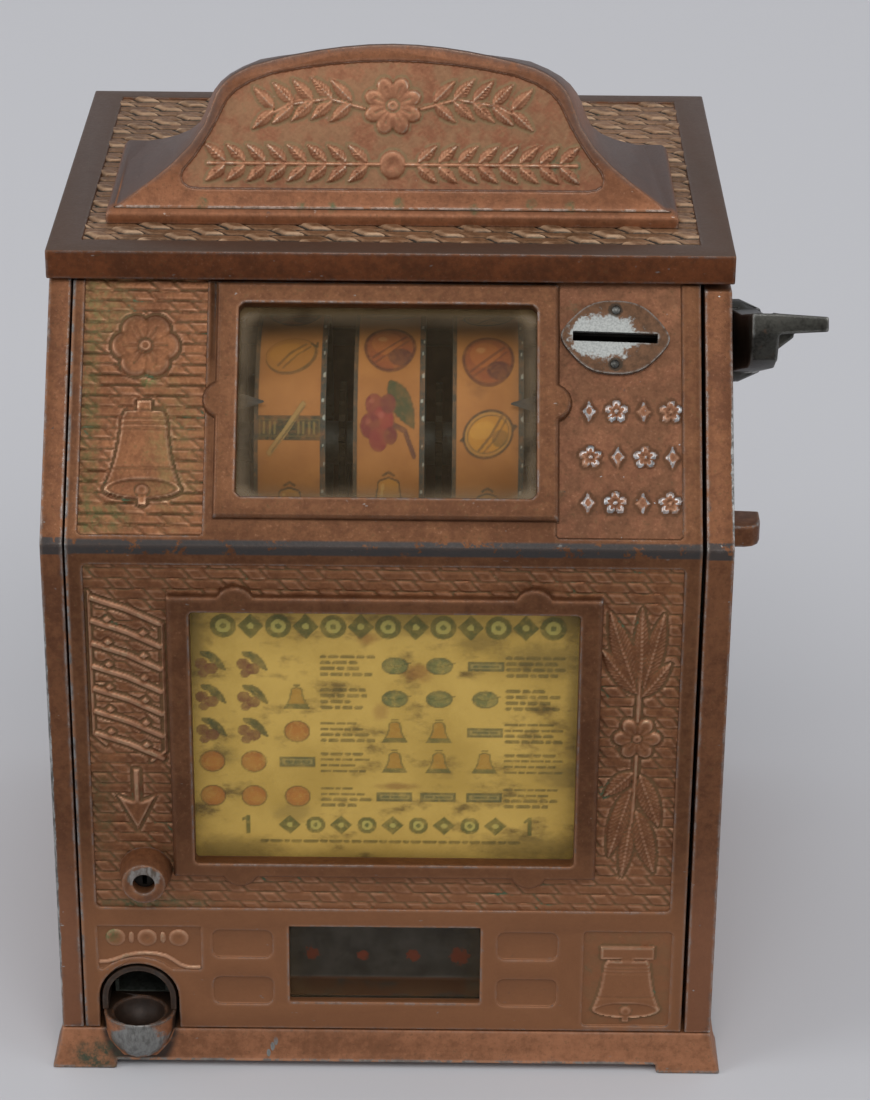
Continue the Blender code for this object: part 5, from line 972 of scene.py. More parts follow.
@dataclass(frozen=True)
class Bell(Relief):
    """Hanging bell seen a little from below, with its clapper."""

    middle: float
    top: float
    mouth: float
    half_width: float
    height: float
    shoulder: float
    yoke: float = 0.0

    def height_at(self, across: Array, up: Array) -> Array:
        """Height of the bell.

        Args:
            across: the points' places across.
            up: their places up.

        Returns:
            The heights.
        """
        tall, wide = self.top - self.mouth, self.half_width
        x, share = across - self.middle, (self.top - up) / tall
        flare = self.shoulder + 0.10 * share + (0.9 - self.shoulder) * np.clip(share, 0, 1) ** 2.6
        flare = np.where(share < 0.10, flare * (0.88 + 1.2 * np.clip(share, 0, 0.1)), flare)
        half = wide * flare
        dome = root(1 - (x / half) ** 2) ** 0.7
        body = np.where((share > 0) & (share < 1) & (np.abs(x) < half), 0.35 + 0.65 * dome, 0.0)
        for band in (0.10, 0.17, 0.24, 0.74):
            body = body - 0.16 * hill((share - band) * tall, 0.32) * (body > 0)
        lip = np.hypot(x / wide, (up - self.mouth) / (0.27 * wide))
        rim = np.where(lip < 1, 0.62 - 0.28 * np.clip(1.1 - lip, 0, 1), 0.0)
        rim = rim + 0.30 * hill(lip - 0.94, 0.07) * (lip < 1.05)
        body = np.where(lip < 0.94, rim, np.maximum(body, rim))
        ball = np.hypot(x, up - self.mouth + 0.4) / (0.19 * wide)
        bars = (
            (0.11 * wide, self.mouth - 0.42 * wide, self.mouth, 0.7),
            (0.19 * wide, self.top - 0.2, self.top + 0.26 * wide, 0.75),
            (self.yoke, self.top + 0.5, self.top + 5.0, 0.8),
        )
        body = np.maximum(body, 0.95 * root(1 - ball**4))
        for reach, low, high, level in bars:
            body = np.maximum(body, level * ((np.abs(x) < reach) & (up > low) & (up < high)))
        return self.height * body


@dataclass
class ReliefSheet:
    """Cast relief that covers the floor of one sunk panel."""

    name: str
    plane: Plane
    bounds: tuple[float, float, float, float]
    floor: float
    shapes: list[Relief]
    ground: Relief | None = None
    step: float = 0.42
    keep: Callable[[Array, Array], Array] | None = None
    grain: float = 0.05
    skirt: float = 0.35
    body: Body = Body.DOOR
    slot: str = "copper_paint"
    lift: float = 0.05
    moat: float = 0.9

    def heights(self, across: Array, up: Array) -> Array:
        """Height of ground and shapes together, with a moat round each shape.

        Args:
            across: the points' places across.
            up: their places up.

        Returns:
            The heights.
        """
        ground = self.ground.height_at(across, up) if self.ground else np.zeros_like(across)
        if not self.shapes:
            return ground
        raised = np.max([s.height_at(across, up) for s in self.shapes], axis=0)
        around = np.zeros_like(across)
        for turn in range(8):
            angle = math.pi * turn / 4
            x, y = across + self.moat * math.cos(angle), up + self.moat * math.sin(angle)
            around = np.maximum(around, np.max([s.height_at(x, y) for s in self.shapes], axis=0))
        calm = 1.0 - 0.85 * eased(around, 0.0, 0.4)
        return np.maximum(ground * calm, raised)

    def build(self, material: Material) -> None:
        """Makes the closed sheet.

        Args:
            material: its finish.
        """
        tool = open_grid(self.bounds, self.step)
        if self.keep is not None:
            place = np.array([vert.co[:2] for vert in tool.verts])
            kept = self.keep(place[:, 0], place[:, 1])
            dropped = [vert for vert, stays in zip(tool.verts, kept) if not stays]
            bmesh.ops.delete(tool, geom=dropped, context="VERTS")
        verts, edges = rim_of(tool)
        bmesh.ops.translate(tool, vec=(0, 0, -1), verts=verts)
        bmesh.ops.triangle_fill(tool, edges=edges, use_beauty=False)
        bmesh.ops.recalc_face_normals(tool, faces=tool.faces)
        Piece(self.name, self.body, self.slot, smooth=60.0).finish(tool, material, self.emboss)

    def emboss(self, mesh: Mesh) -> None:
        """Raises the relief on the flat sheet, and marks its hollows and crests.

        Args:
            mesh: the sheet.
        """
        place = points_of(mesh)
        across, up, top = place[:, 0], place[:, 1], place[:, 2] > -0.5
        height, floor = self.heights(across, up), self.floor + self.lift
        turns = np.arange(0, 2 * math.pi, math.pi / 4)
        mean = np.mean([self.heights(across + 0.9 * math.cos(a), up + 0.9 * math.sin(a)) for a in turns], axis=0)
        hollow = np.clip((mean - height) / 0.30, 0, 1) + 0.35 * np.clip(1 - height / 0.35, 0, 1)
        crest = np.clip((height - mean - 0.05) / 0.24, 0, 1)
        ripple = np.sin(across * 3.1 + 2.0 * np.sin(up * 1.3)) * np.sin(up * 2.7 + 1.5 * np.sin(across * 0.9))
        place[:, 2] = np.where(top, floor + height + self.grain * ripple, floor - self.skirt)
        mesh.vertices.foreach_set("co", place.ravel())
        mark_points(mesh, "hollow", "FLOAT", np.where(top, np.clip(hollow, 0, 1), 1.0))
        mark_points(mesh, "crest", "FLOAT", np.where(top, crest, 0.0))
        mesh.transform(self.plane.matrix())
        mesh.update()


def outside(left: float, right: float, low: float, high: float) -> Callable[[Array, Array], Array]:
    """Test that keeps what lies outside a rectangle."""
    return lambda x, y: ~((x > left) & (x < right) & (y > low) & (y < high))


Stamp = tuple[Relief, str, float]


@dataclass(frozen=True)
class Motif:
    """Printed figure, drawn ten millimetres wide, that is laid down at any place and size."""

    stamps: tuple[Stamp, ...]
    size: float = 10.0
    turn: float = 0.0
    tall: float = 1.0
    centre: Pair = (0.0, 0.0)

    def at(self, across: float, up: float) -> Motif:
        """The same figure elsewhere."""
        return Motif(self.stamps, self.size, self.turn, self.tall, (across, up))

    def print_on(self, across: Array, up: Array, ink: Array) -> None:
        """Lays the figure's colours over what is printed.

        Args:
            across: the points' places across, in millimetres.
            up: their places up.
            ink: red, green, blue and cover of each point, changed in place.
        """
        scale = self.size / 10.0
        x, y = (across - self.centre[0]) / scale, (up - self.centre[1]) / (scale * self.tall)
        near = (np.abs(x) < 9.0) & (np.abs(y) < 9.0)
        angle = math.radians(self.turn)
        x, y = x[near], y[near]
        x, y = x * math.cos(angle) + y * math.sin(angle), y * math.cos(angle) - x * math.sin(angle)
        part = ink[near]
        for shape, colour, strength in self.stamps:
            cover = np.clip(shape.height_at(x, y) * 2.5, 0, 1)[:, None] * strength
            part += (np.array(hue(colour)) - part) * cover
        ink[near] = part


def disc(x: float, y: float, wide: float, tall: float, colour: str, strength: float = 1.0) -> Stamp:
    """Round or oval spot of ink."""
    return Disc((x, y), (wide, tall)), colour, strength


def line(colour: str, strength: float, width: float, *points: Pair) -> Stamp:
    """Printed line."""
    return Stroke(points, width), colour, strength


def area(colour: str, strength: float, edge: float, *corners: Pair) -> Stamp:
    """Printed patch."""
    return Plate(corners, 1.0, edge), colour, strength


def leaf(colour: str, strength: float, width: float, base: Pair, tip: Pair) -> Stamp:
    """Printed leaf."""
    return Leaf(base, tip, width, 1.0, 0.9), colour, strength


def diamond(x: float, y: float, wide: float, high: float) -> tuple[Pair, ...]:
    """Corners of a lozenge that stands on its point."""
    return ((x - wide, y), (x, y - high), (x + wide, y), (x, y + high))


def box_outline(wide: float, high: float) -> tuple[Pair, ...]:
    """Corners of a rectangle about the origin."""
    return ((-wide, -high), (wide, -high), (wide, high), (-wide, high))


def bell_outline(half: float, top: float, low: float) -> tuple[Pair, ...]:
    """Outline of a bell's side view.

    Args:
        half: half its width at the mouth.
        top: level of its crown.
        low: level of its mouth.

    Returns:
        The corners.
    """
    right = []
    for step in range(13):
        share = step / 12
        flare = 0.52 + 0.10 * share + 0.38 * share**3.6
        if share < 0.12:
            flare *= math.sqrt(share / 0.12) if share else 0.05
        right.append((half * flare, top + (low - top) * share))
    return tuple(right) + tuple((-x, y) for x, y in reversed(right))


CHERRIES = (
    leaf("3a4420", 0.95, 4.4, (-0.6, 5.6), (5.0, -1.2)),
    line("5a3428", 0.85, 0.9, (1.0, -1.0), (3.2, -1.6), (5.3, -5.0)),
    disc(-3.0, 1.6, 1.7, 1.7, "7a2f24"),
    disc(-1.0, -0.4, 2.0, 2.0, "8a3427"),
    disc(-3.4, -1.6, 1.9, 1.9, "752c22"),
    disc(-0.4, 2.0, 1.5, 1.5, "6c2e22"),
    disc(-1.6, -3.4, 1.8, 1.8, "823126"),
    disc(0.6, -2.6, 1.3, 1.3, "6c2a20"),
    disc(-3.5, 2.1, 0.5, 0.4, "a45c48", 0.5),
    disc(-1.5, 0.2, 0.6, 0.5, "a8604c", 0.5),
    disc(-3.9, -1.0, 0.5, 0.5, "a45a46", 0.4),
)
ORANGE = (
    disc(0, 0, 5.0, 4.9, "5c2e1c", 0.95),
    disc(0, 0, 4.4, 4.3, "8d4a24"),
    disc(-0.6, 0.9, 2.9, 2.6, "a8602c", 0.75),
    disc(2.0, -2.0, 2.3, 1.7, "4a2a24", 0.75),
    line("4f2b1c", 0.6, 0.5, (-3.2, -2.2), (-0.4, -0.2), (3.0, 2.4)),
    line("4f2b1c", 0.5, 0.4, (-2.6, -3.0), (0.4, -1.0), (3.4, 1.4)),
    disc(-1.4, 1.8, 0.9, 0.6, "c08a50", 0.5),
)
LEMON = (
    disc(0, 0, 5.2, 3.7, "43361e", 0.95),
    area("43361e", 0.9, 0.3, (4.0, 1.2), (6.3, 0.0), (4.0, -1.2)),
    area("43361e", 0.9, 0.3, (-4.0, 1.1), (-6.0, 0.2), (-4.0, -1.1)),
    disc(0, 0, 4.75, 3.3, "ab7a36"),
    disc(0, 0, 4.3, 2.9, "54421f", 0.8),
    disc(0, 0, 4.1, 2.7, "b67c26"),
    disc(-1.0, 0.8, 2.6, 1.3, "c48e36", 0.7),
    disc(2.2, -1.1, 1.7, 1.3, "6d5326", 0.7),
    line("5a4522", 0.75, 0.5, (-2.2, -2.0), (0.4, -0.4), (3.4, 2.2)),
    line("5a4522", 0.6, 0.4, (-1.4, -2.5), (1.4, -0.9), (4.0, 1.4)),
)
PLUM = (
    disc(0, -0.2, 4.9, 3.3, "54481f", 0.75),
    disc(-0.2, 0.1, 4.6, 3.1, "a56c28"),
    disc(-0.8, 0.6, 3.2, 1.7, "b3782a", 0.8),
    line("5f4720", 0.7, 0.5, (-2.8, -1.4), (-0.2, 0.2), (3.0, 1.3)),
    line("5f4720", 0.6, 0.4, (-2.0, -2.0), (0.8, -0.5), (3.6, 0.6)),
    line("4c4226", 0.8, 0.4, (4.0, 1.2), (4.9, 0.2), (5.2, 1.2)),
)
BELL = (
    area("4a3c20", 0.95, 0.3, *bell_outline(5.2, 5.0, -3.4)),
    area("b67c2e", 1.0, 0.3, *bell_outline(4.6, 4.5, -2.9)),
    line("d3a456", 0.7, 0.8, (-1.4, 3.0), (-1.7, 0.4), (-2.4, -1.8)),
    line("4a3c20", 0.9, 0.8, (-4.7, -3.4), (0.0, -4.1), (4.7, -3.4)),
    disc(0, -4.6, 1.0, 0.9, "3c3020", 0.95),
    line("4a3c20", 0.9, 0.6, (-1.2, 5.2), (0.0, 5.9), (1.2, 5.2)),
)
BAR = (
    area("3b3820", 0.95, 0.2, *box_outline(8.6, 2.5)),
    area("6b6030", 0.55, 0.2, *box_outline(8.0, 1.9)),
    area("37351e", 0.9, 0.2, *box_outline(7.6, 1.6)),
    line("a8894c", 0.85, 1.5, (-5.2, -5.0), (-1.0, -0.6), (3.4, 4.8)),
    line("5c4c28", 0.8, 0.4, (-4.6, -4.8), (-0.4, -0.4), (3.8, 4.4)),
    *(line("86743c", 0.6, 0.7, (x, -1.0), (x, 1.0)) for x in (-6.6, -5.2, -3.8, 2.2, 3.6, 5.0, 6.4)),
)
CARD_BAR = (
    area("5c5a34", 0.9, 0.2, *box_outline(5.4, 1.7)),
    area("97854a", 0.8, 0.2, *box_outline(4.5, 0.9)),
    *(line("5c5a34", 0.85, 1.0, (x, 0), (end, 0)) for x, end in ((-3.4, -1.8), (-0.8, 0.8), (1.8, 3.4))),
)
CARD_PLUM = (
    disc(0, 0, 4.6, 3.4, "5f6036", 0.95),
    disc(0.3, -0.3, 3.7, 2.5, "74733f", 0.85),
    line("55552c", 0.8, 0.5, (-3.2, 0.2), (0, -0.4), (3.6, 0.6), (5.2, 1.2)),
)
CARD_CHERRIES = (
    leaf("474a26", 0.85, 3.6, (-1.2, 4.8), (5.2, -2.4)),
    leaf("4c4f28", 0.8, 2.6, (-3.4, 4.6), (1.2, 2.4)),
    disc(-3.0, 0.2, 2.2, 2.2, "74432c", 0.85),
    disc(0.2, -1.6, 2.3, 2.2, "703f2a", 0.85),
    disc(-2.4, -3.4, 1.7, 1.6, "7a4c32", 0.8),
)
CARD_ORANGE = (
    disc(0, 0, 4.6, 4.3, "6e4a20", 0.85),
    disc(0, 0, 4.1, 3.8, "a5682a", 0.95),
    disc(0.2, -0.2, 2.6, 2.3, "b0742f", 0.7),
)
CARD_BELL = (
    area("6e6430", 0.85, 0.4, *bell_outline(4.4, 4.8, -3.0)),
    area("ab7c2c", 0.9, 0.4, *bell_outline(3.4, 4.3, -2.4)),
    area("5c5c30", 0.85, 0.3, (-5.0, -4.4), (5.0, -4.4), (4.0, -2.5), (-4.0, -2.5)),
    line("6e6430", 0.8, 0.7, (-1.0, 5.2), (1.0, 5.2)),
)
REEL_SIGNS = {
    "p": Motif(PLUM, 17.0, 14.0, 1.35),
    "r": Motif(BAR, 12.0, 0.0, 1.3),
    "b": Motif(BELL, 13.0, 0.0, 1.12),
    "c": Motif(CHERRIES, 16.5, -6.0, 1.32),
    "o": Motif(ORANGE, 16.6, 0.0, 1.3),
    "l": Motif(LEMON, 15.6, 12.0, 1.35),
}
CARD_SIGNS = {
    "c": Motif(CARD_CHERRIES, 9.4),
    "o": Motif(CARD_ORANGE, 9.2),
    "b": Motif(CARD_BELL, 8.6),
    "p": Motif(CARD_PLUM, 9.2),
    "r": Motif(CARD_BAR, 10.6),
}
GREEN_PRINT, PALE_PRINT = "565a28", "b3a656"
FIGURE_ONE = ((-1.0, -5), (1.3, -5), (1.3, 5), (-0.4, 5), (-2.6, 3.2), (-2.6, 1.6), (-1.0, 2.4))


@dataclass
class PrintedSheet:
    """Thin printed sheet whose points carry the ink."""

    piece: Piece
    motifs: list[Motif]
    width: float
    height: float
    thickness: float
    step: float

    def grid(self) -> BMesh:
        """Makes the sheet's face, flat about its middle, in millimetres."""
        return open_grid((-self.width / 2, self.width / 2, -self.height / 2, self.height / 2), self.step)

    def ink(self, mesh: Mesh, across: Array, up: Array) -> None:
        """Prints the figures on the points of the sheet.

        Args:
            mesh: the sheet.
            across: the points' places across, in millimetres.
            up: their places up.
        """
        ink = np.zeros((len(across), 4))
        for motif in self.motifs:
            motif.print_on(across, up, ink)
        mark_points(mesh, "ink", "FLOAT_COLOR", ink)

    def flat(self, material: Material, plane: Plane, centre: Pair, level: float) -> None:
        """Makes the sheet flat on a plane.

        Args:
            material: its finish.
            plane: the plane.
            centre: its middle on the plane.
            level: height of its face over the plane.
        """
        tool = self.grid()
        verts, edges = rim_of(tool)
        bmesh.ops.translate(tool, vec=(0, 0, -self.thickness), verts=verts)
        bmesh.ops.contextual_create(tool, geom=edges)
        bmesh.ops.recalc_face_normals(tool, faces=tool.faces)

        def lay(mesh: Mesh) -> None:
            """Prints the sheet and puts it in its place.

            Args:
                mesh: the sheet.
            """
            place = points_of(mesh)
            self.ink(mesh, place[:, 0], place[:, 1])
            mesh.transform(plane.matrix() @ Matrix.Translation((*centre, level)))

        self.piece.finish(tool, material, lay)

    def rolled(self, material: Material, centre: Vector, radius: float) -> None:
        """Makes the sheet rolled round a drum whose axis runs across.

        Args:
            material: its finish.
            centre: the drum's centre in millimetres in the frame.
            radius: radius of the sheet's outer face.
        """
        tool = self.grid()
        for vert in tool.verts:
            turn = vert.co.y / radius
            vert.co = (vert.co.x, -radius * math.cos(turn), radius * math.sin(turn))
        bmesh.ops.remove_doubles(tool, verts=[v for v in tool.verts if v.is_boundary], dist=1e-3)
        verts, edges = rim_of(tool)
        share = (radius - self.thickness) / radius
        bmesh.ops.scale(tool, vec=(1, share, share), verts=verts)
        bmesh.ops.bridge_loops(tool, edges=edges)
        bmesh.ops.recalc_face_normals(tool, faces=tool.faces)

        def lay(mesh: Mesh) -> None:
            """Prints the sheet and puts it in its place.

            Args:
                mesh: the sheet.
            """
            place = points_of(mesh)
            self.ink(mesh, place[:, 0], np.arctan2(place[:, 2], -place[:, 1]) * radius)
            mesh.transform(Matrix.Scale(MM, 4) @ Matrix.Translation(centre))

        self.piece.finish(tool, material, lay)


def lozenge(width: float, height: float) -> Motif:
    """Solid lozenge with a pale heart."""
    corners = diamond(0, 0, 5, 5 * height / width)
    return Motif((area(GREEN_PRINT, 0.85, 0.3, *corners), disc(0, 0, 1.3, 1.3, PALE_PRINT, 0.9)), width)


def ring(size: float) -> Motif:
    """Heavy ring with a dot in it."""
    spots = ((5.0, GREEN_PRINT, 0.85), (2.9, PALE_PRINT, 0.95), (1.2, GREEN_PRINT, 0.85))
    return Motif(tuple(disc(0, 0, radius, radius, *ink) for radius, *ink in spots), size)


def dashes(left: float, right: float, up: float, start: int) -> list[Motif]:
    """Thin broken line that stands for small print.

    Args:
        left: where it starts.
        right: where it ends.
        up: its level.
        start: number of its first dash, which sets the lengths.

    Returns:
        The dashes.
    """
    made, place, index = [], left, start
    while place < right - 1.0:
        length = min(0.9 + (index * 7 % 5) * 0.7, right - place)
        made.append(Motif((line("5d5528", 0.72, 1.15, (0.0, 0.0), (length, 0.0)),)).at(place, up))
        place += length + 1.5
        index += 1
    return made


@dataclass
class AwardCard:
    """Printed card behind the low door window: rows of fruit signs with ornament above and below."""

    centre: Pair = (-0.65, 121.5)
    size: Pair = (128.5, 97.4)
    level: float = -6.06
    rows: tuple[float, ...] = (144.4, 132.7, 120.8, 109.8, 97.3)
    columns: tuple[float, ...] = (-55.3, -42.2, -28.4, 2.4, 16.3, 30.8)
    signs: tuple[str, ...] = ("cc-ppr", "ccbppp", "ccobbr", "oorbbb", "ooorrr")
    top_row: float = 157.9
    low_row: float = 86.9

    def motifs(self) -> list[Motif]:
        """Everything that is printed on the card.

        Returns:
            The figures in the order in which they are printed.
        """
        made = []
        for signs, up in zip(self.signs, self.rows):
            places = zip(signs, self.columns)
            made += [CARD_SIGNS[sign].at(across, up) for sign, across in places if sign != "-"]
        for index in range(13):
            made.append((lozenge(8.4, 9.2) if index % 2 else ring(8.3)).at(-51.0 + index * 8.55, self.top_row))
        for index in range(9):
            made.append((ring(6.2) if index % 2 else lozenge(7.4, 7.0)).at(-31.0 + index * 8.2, self.low_row))
        one = Motif((area(GREEN_PRINT, 0.85, 0.2, *FIGURE_ONE),), 6.8)
        made += [one.at(-44.5, self.low_row), one.at(45.5, self.low_row)]
        for index, up in enumerate(self.rows):
            for row in range(4):
                level = up + 3.0 - 2.05 * row
                made += dashes(-20.5, -4.2 - (row * 5 + index * 3) % 7, level, index + row)
                made += dashes(37.6, 55.8 - (row * 3 + index * 5) % 6, level, index * 2 + row)
        made += dashes(-40.0, 44.0, 80.9, 3)
        return [motif.at(motif.centre[0] - self.centre[0], motif.centre[1] - self.centre[1]) for motif in made]

    def build(self) -> None:
        """Makes the card."""
        marks = stains(
            FRONT,
            (29.0, 152.8, 7.0, 3.4, "5a4a20", 0.43),
            (49.0, 146.8, 13.0, 5.4, "5a4a20", 0.53),
            (6.5, 160.5, 16.0, 5.0, "66531f", 0.43),
            (57.0, 162.0, 8.0, 7.0, "453a18", 0.53),
            (56.0, 105.5, 8.0, 4.2, "5a4a20", 0.50),
            (-30.0, 91.5, 6.0, 3.2, "6a5a30", 0.37),
            (-52.0, 112.0, 4.0, 3.0, "5f5228", 0.37),
            (-60.5, 150.0, 4.0, 18.0, "54451c", 0.50),
            (-50.0, 78.0, 16.0, 4.0, "5a4a20", 0.50),
            (46.0, 79.4, 18.0, 4.6, "4c3d1a", 0.53),
            (-44.0, 166.0, 14.0, 3.0, "5a3c1a", 0.50),
            (60.0, 128.0, 3.0, 30.0, "5a4a20", 0.37),
            (-6.0, 154.0, 3.0, 1.8, "7c3f1c", 0.50),
            (9.5, 142.0, 4.2, 2.8, "7c3f1c", 0.50),
            (3.5, 101.2, 6.0, 1.2, "6c3a18", 0.53),
            (-2.0, 128.0, 2.2, 2.6, "8a5a2c", 0.43),
        )
        paper = Paper("card_stock", "caa752", "b39241", "5f4a20", 0.9, 0.40, marks).material()
        piece = Piece("printed_card", Body.DOOR, "card_paper", "award_card")
        PrintedSheet(piece, self.motifs(), *self.size, 0.6, 0.42).flat(paper, FRONT, self.centre, self.level)


@dataclass
class Reels:
    """The three printed strips on their drums."""

    radius: float = 41.0
    width: float = 22.2
    axis: Pair = (68.3, 192.9)
    places: Triple = (-30.9, -0.1, 30.7)
    starts: Triple = (66.0, 71.0, 64.0)
    pitch: float = 36.0
    orders: tuple[str, ...] = ("prbcolboco", "ocbprolbcp", "olbcprobol")

    def motifs(self, order: str, start: float) -> list[Motif]:
        """The ten signs of one strip, one under another, with its shaded edges.

        Args:
            order: a letter for each sign, downward.
            start: turn of the first sign above the level, in degrees.

        Returns:
            The figures in the order in which they are printed.
        """
        made = []
        half = math.pi * self.radius
        for index, sign in enumerate(order):
            turn = (start - self.pitch * index + 180.0) % 360.0 - 180.0
            rounds = [math.radians(turn + whole) * self.radius for whole in (-360.0, 0.0, 360.0)]
            made += [REEL_SIGNS[sign].at(0.0, place) for place in rounds if abs(place) < half + 9.0]
        steps = round(half / 5.0)
        for edge, width, colour in ((self.width / 2 - 0.6, 2.2, "363a30"), (0.5 - self.width / 2, 1.5, "3d3828")):
            shade = Motif((line(colour, 0.9, width, (0.0, -6.0), (0.0, 6.0)),))
            made += [shade.at(edge, index * half / steps) for index in range(-steps, steps + 1)]
        for index in range(34):
            place = (index * 0.618 % 1.0 * 2 - 1) * half
            fleck = Motif((disc(0, 0, 0.2 + 0.15 * (index % 3), 0.3 + 0.3 * (index % 4), "a9b0a0", 0.85),))
            made.append(fleck.at(self.width / 2 - 0.5 - 0.4 * (index % 2), place))
        return made

    def build(self) -> None:
        """Makes the strips."""
        paper = Paper("strip_paper", "b17538", "9a6128", "6b4420", 0.4, 0.3).material()
        bodies = (Body.LEFT_REEL, Body.MIDDLE_REEL, Body.RIGHT_REEL)
        for body, across, start, order in zip(bodies, self.places, self.starts, self.orders):
            piece = Piece(f"{body.value}_print", body, "reel_paper", f"{body.value}_strip")
            sheet = PrintedSheet(piece, self.motifs(order, start), self.width, 2 * math.pi * self.radius, 0.4, 0.37)
            centre = Vector((across + SHIFT_X, self.axis[0] + SHIFT_Y, self.axis[1]))
            sheet.rolled(paper, centre, self.radius)


@dataclass
class DoorPanels:
    """Cast ornament in the door's sunk panels."""

    deep: float = -1.4
    shallow: float = -0.9
    card_border: tuple[float, ...] = (-67.2, 65.8, 72.3, 170.7)
    edge_ridge: tuple[Pair, ...] = (
        (-92.9, 38.0), (-90.4, 38.2), (-88.0, 38.9), (-84.6, 40.4), (-81.4, 41.2), (-78.0, 41.5), (-74.6, 41.2),
        (-71.6, 40.4), (-69.2, 38.9), (-67.0, 37.2), (-65.0, 36.3), (-62.8, 36.1), (-60.7, 36.2),
    )
    leaves: tuple[tuple[Pair, Pair, float], ...] = (
        ((77.6, 139.0), (68.6, 166.5), 8.0),
        ((78.0, 138.0), (66.2, 153.5), 6.6),
        ((79.8, 140.0), (85.6, 166.0), 7.0),
        ((79.4, 137.0), (88.2, 149.0), 5.8),
        ((79.0, 141.0), (78.6, 168.0), 5.4),
        ((77.6, 110.0), (68.4, 101.0), 6.0),
        ((79.6, 109.0), (86.4, 90.0), 7.0),
        ((77.2, 104.0), (70.6, 79.0), 7.6),
        ((78.8, 96.0), (85.2, 73.0), 7.4),
        ((77.4, 92.0), (75.0, 71.5), 5.0),
    )
    arrow: tuple[Pair, ...] = (
        (-80.4, 110.0), (-80.4, 98.5), (-86.0, 100.6), (-79.0, 86.6), (-72.4, 100.6), (-77.6, 98.5), (-77.6, 110.0),
    )

    def build(self, paint: Material, bright: Material) -> None:
        """Makes the panels.

        Args:
            paint: finish of the ornament.
            bright: finish of the ornament that hands rub bare.
        """
        for sheet in (*self.bell_and_weave(), *self.balls_and_bell()):
            sheet.build(paint)
        bounds, keep = (51.1, 90.8, 3.1, 88.0), outside(55.8, 83.6, 64.6, 70.2)
        studs = ReliefSheet("coin_panel", SLOPE, bounds, self.shallow, self.studs(), None, 0.45, keep, 0.03)
        studs.build(bright)

    def bell_and_weave(self) -> list[ReliefSheet]:
        """Panels with weave: flower over bell on the slope, and the borders right, left and under the card.

        Returns:
            The panels.
        """
        bell = [Flower((-75.5, 63.7), 10.5, 6, 0.0, 1.38, 1.22), Bell(-75.2, 43.0, 18.1, 11.85, 1.35, 0.57)]
        weave, border = Weave(3.4, 10.4, 6.6, 0.9, cut=0.55), outside(*self.card_border)
        leaf_bounds, cane_bounds = (-0.7, 91.6, 58.5, 182.0), (-93.8, -0.7, 58.5, 182.0)
        return [
            ReliefSheet("bell_panel", SLOPE, (-95.1, -56.0, 3.1, 88.0), self.deep, bell, weave),
            ReliefSheet("leaf_panel", FRONT, leaf_bounds, self.deep, self.sprays(), Weave(), keep=border),
            ReliefSheet("cane_panel", FRONT, cane_bounds, self.deep, self.canes(), Weave(), keep=border),
        ]

    def balls_and_bell(self) -> list[ReliefSheet]:
        """Small panels: three balls over a wavy ridge above the arch, and a bell under its yoke.

        Returns:
            The panels.
        """
        balls = [Disc((x, 47.2), (3.5, 3.4), 1.35, 0.35) for x in (-87.6, -77.4, -67.2)]
        balls += [Disc((x, 47.2), (1.1, 2.4), 1.1) for x in (-82.5, -72.3)]
        balls.append(Stroke(self.edge_ridge, 1.7, 1.25))
        bell = [Bell(78.0, 40.6, 21.6, 11.0, 1.2, 0.66, 8.6)]
        ball_bounds, bell_bounds = (-93.9, -59.5, 35.0, 52.3), (63.2, 92.7, 14.7, 51.8)

        def keep(x: Array, y: Array) -> Array:
            """Keeps what lies clear of the arch."""
            return np.hypot(x + 80.6, y - 24.6) > 15.2

        return [
            ReliefSheet("ball_panel", FRONT, ball_bounds, self.deep, balls, None, 0.4, keep),
            ReliefSheet("low_bell_panel", FRONT, bell_bounds, self.shallow, bell, grain=0.03),
        ]

    def studs(self) -> list[Relief]:
        """Rows of small flowers and lozenges under the coin slot.

        Returns:
            The shapes.
        """
        shapes: list[Relief] = []
        for row, (up, shift) in enumerate(((43.9, 0.6), (29.4, 1.0), (14.9, 0.2))):
            for column in range(4):
                across = 61.0 + column * 8.4 + shift
                if (row + column) % 2:
                    shapes.append(Flower((across, up), 3.7, 5, 90.0, 0.95, 1.1))
                else:
                    shapes.append(Plate(diamond(across, up, 2.9, 4.3), 0.9, 1.3))
        return shapes

    def sprays(self) -> list[Relief]:
        """Flower between two leaf sprays.

        Returns:
            The shapes.
        """
        shapes: list[Relief] = [Leaf(*sizes) for sizes in self.leaves]
        shapes.append(Stroke(((78.4, 128.0), (78.6, 136.0), (78.4, 145.0)), 1.5, 0.9))
        shapes.append(Stroke(((78.4, 116.0), (78.2, 106.0), (77.6, 92.0)), 1.5, 0.9))
        shapes.append(Flower((78.4, 122.2), 7.6, 6, 0.0, 1.3, 0.95))
        return shapes

    def canes(self) -> list[Relief]:
        """Slanting canes with studs between two rods, and an arrow.

        Returns:
            The shapes.
        """
        shapes: list[Relief] = []
        for index in range(7):
            up = 169.6 - index * 7.9
            shapes.append(Stroke(((-91.0, up), (-80.6, up - 3.6), (-70.4, up - 8.6)), 2.1, 1.15))
        for index in range(6):
            up = 164.4 - index * 7.9
            for across, drop in ((-86.4, 2.2), (-75.4, 6.8)):
                shapes.append(Plate(diamond(across, up - drop, 1.9, 1.7), 0.9, 0.8))
        shapes.append(Stroke(((-92.0, 171.5), (-92.0, 122.0), (-88.0, 118.2)), 1.0, 0.8))
        shapes.append(Stroke(((-69.4, 161.0), (-69.4, 116.0), (-74.0, 112.4)), 1.0, 0.8))
        shapes.append(Plate(self.arrow, 1.1, 1.1))
        return shapes


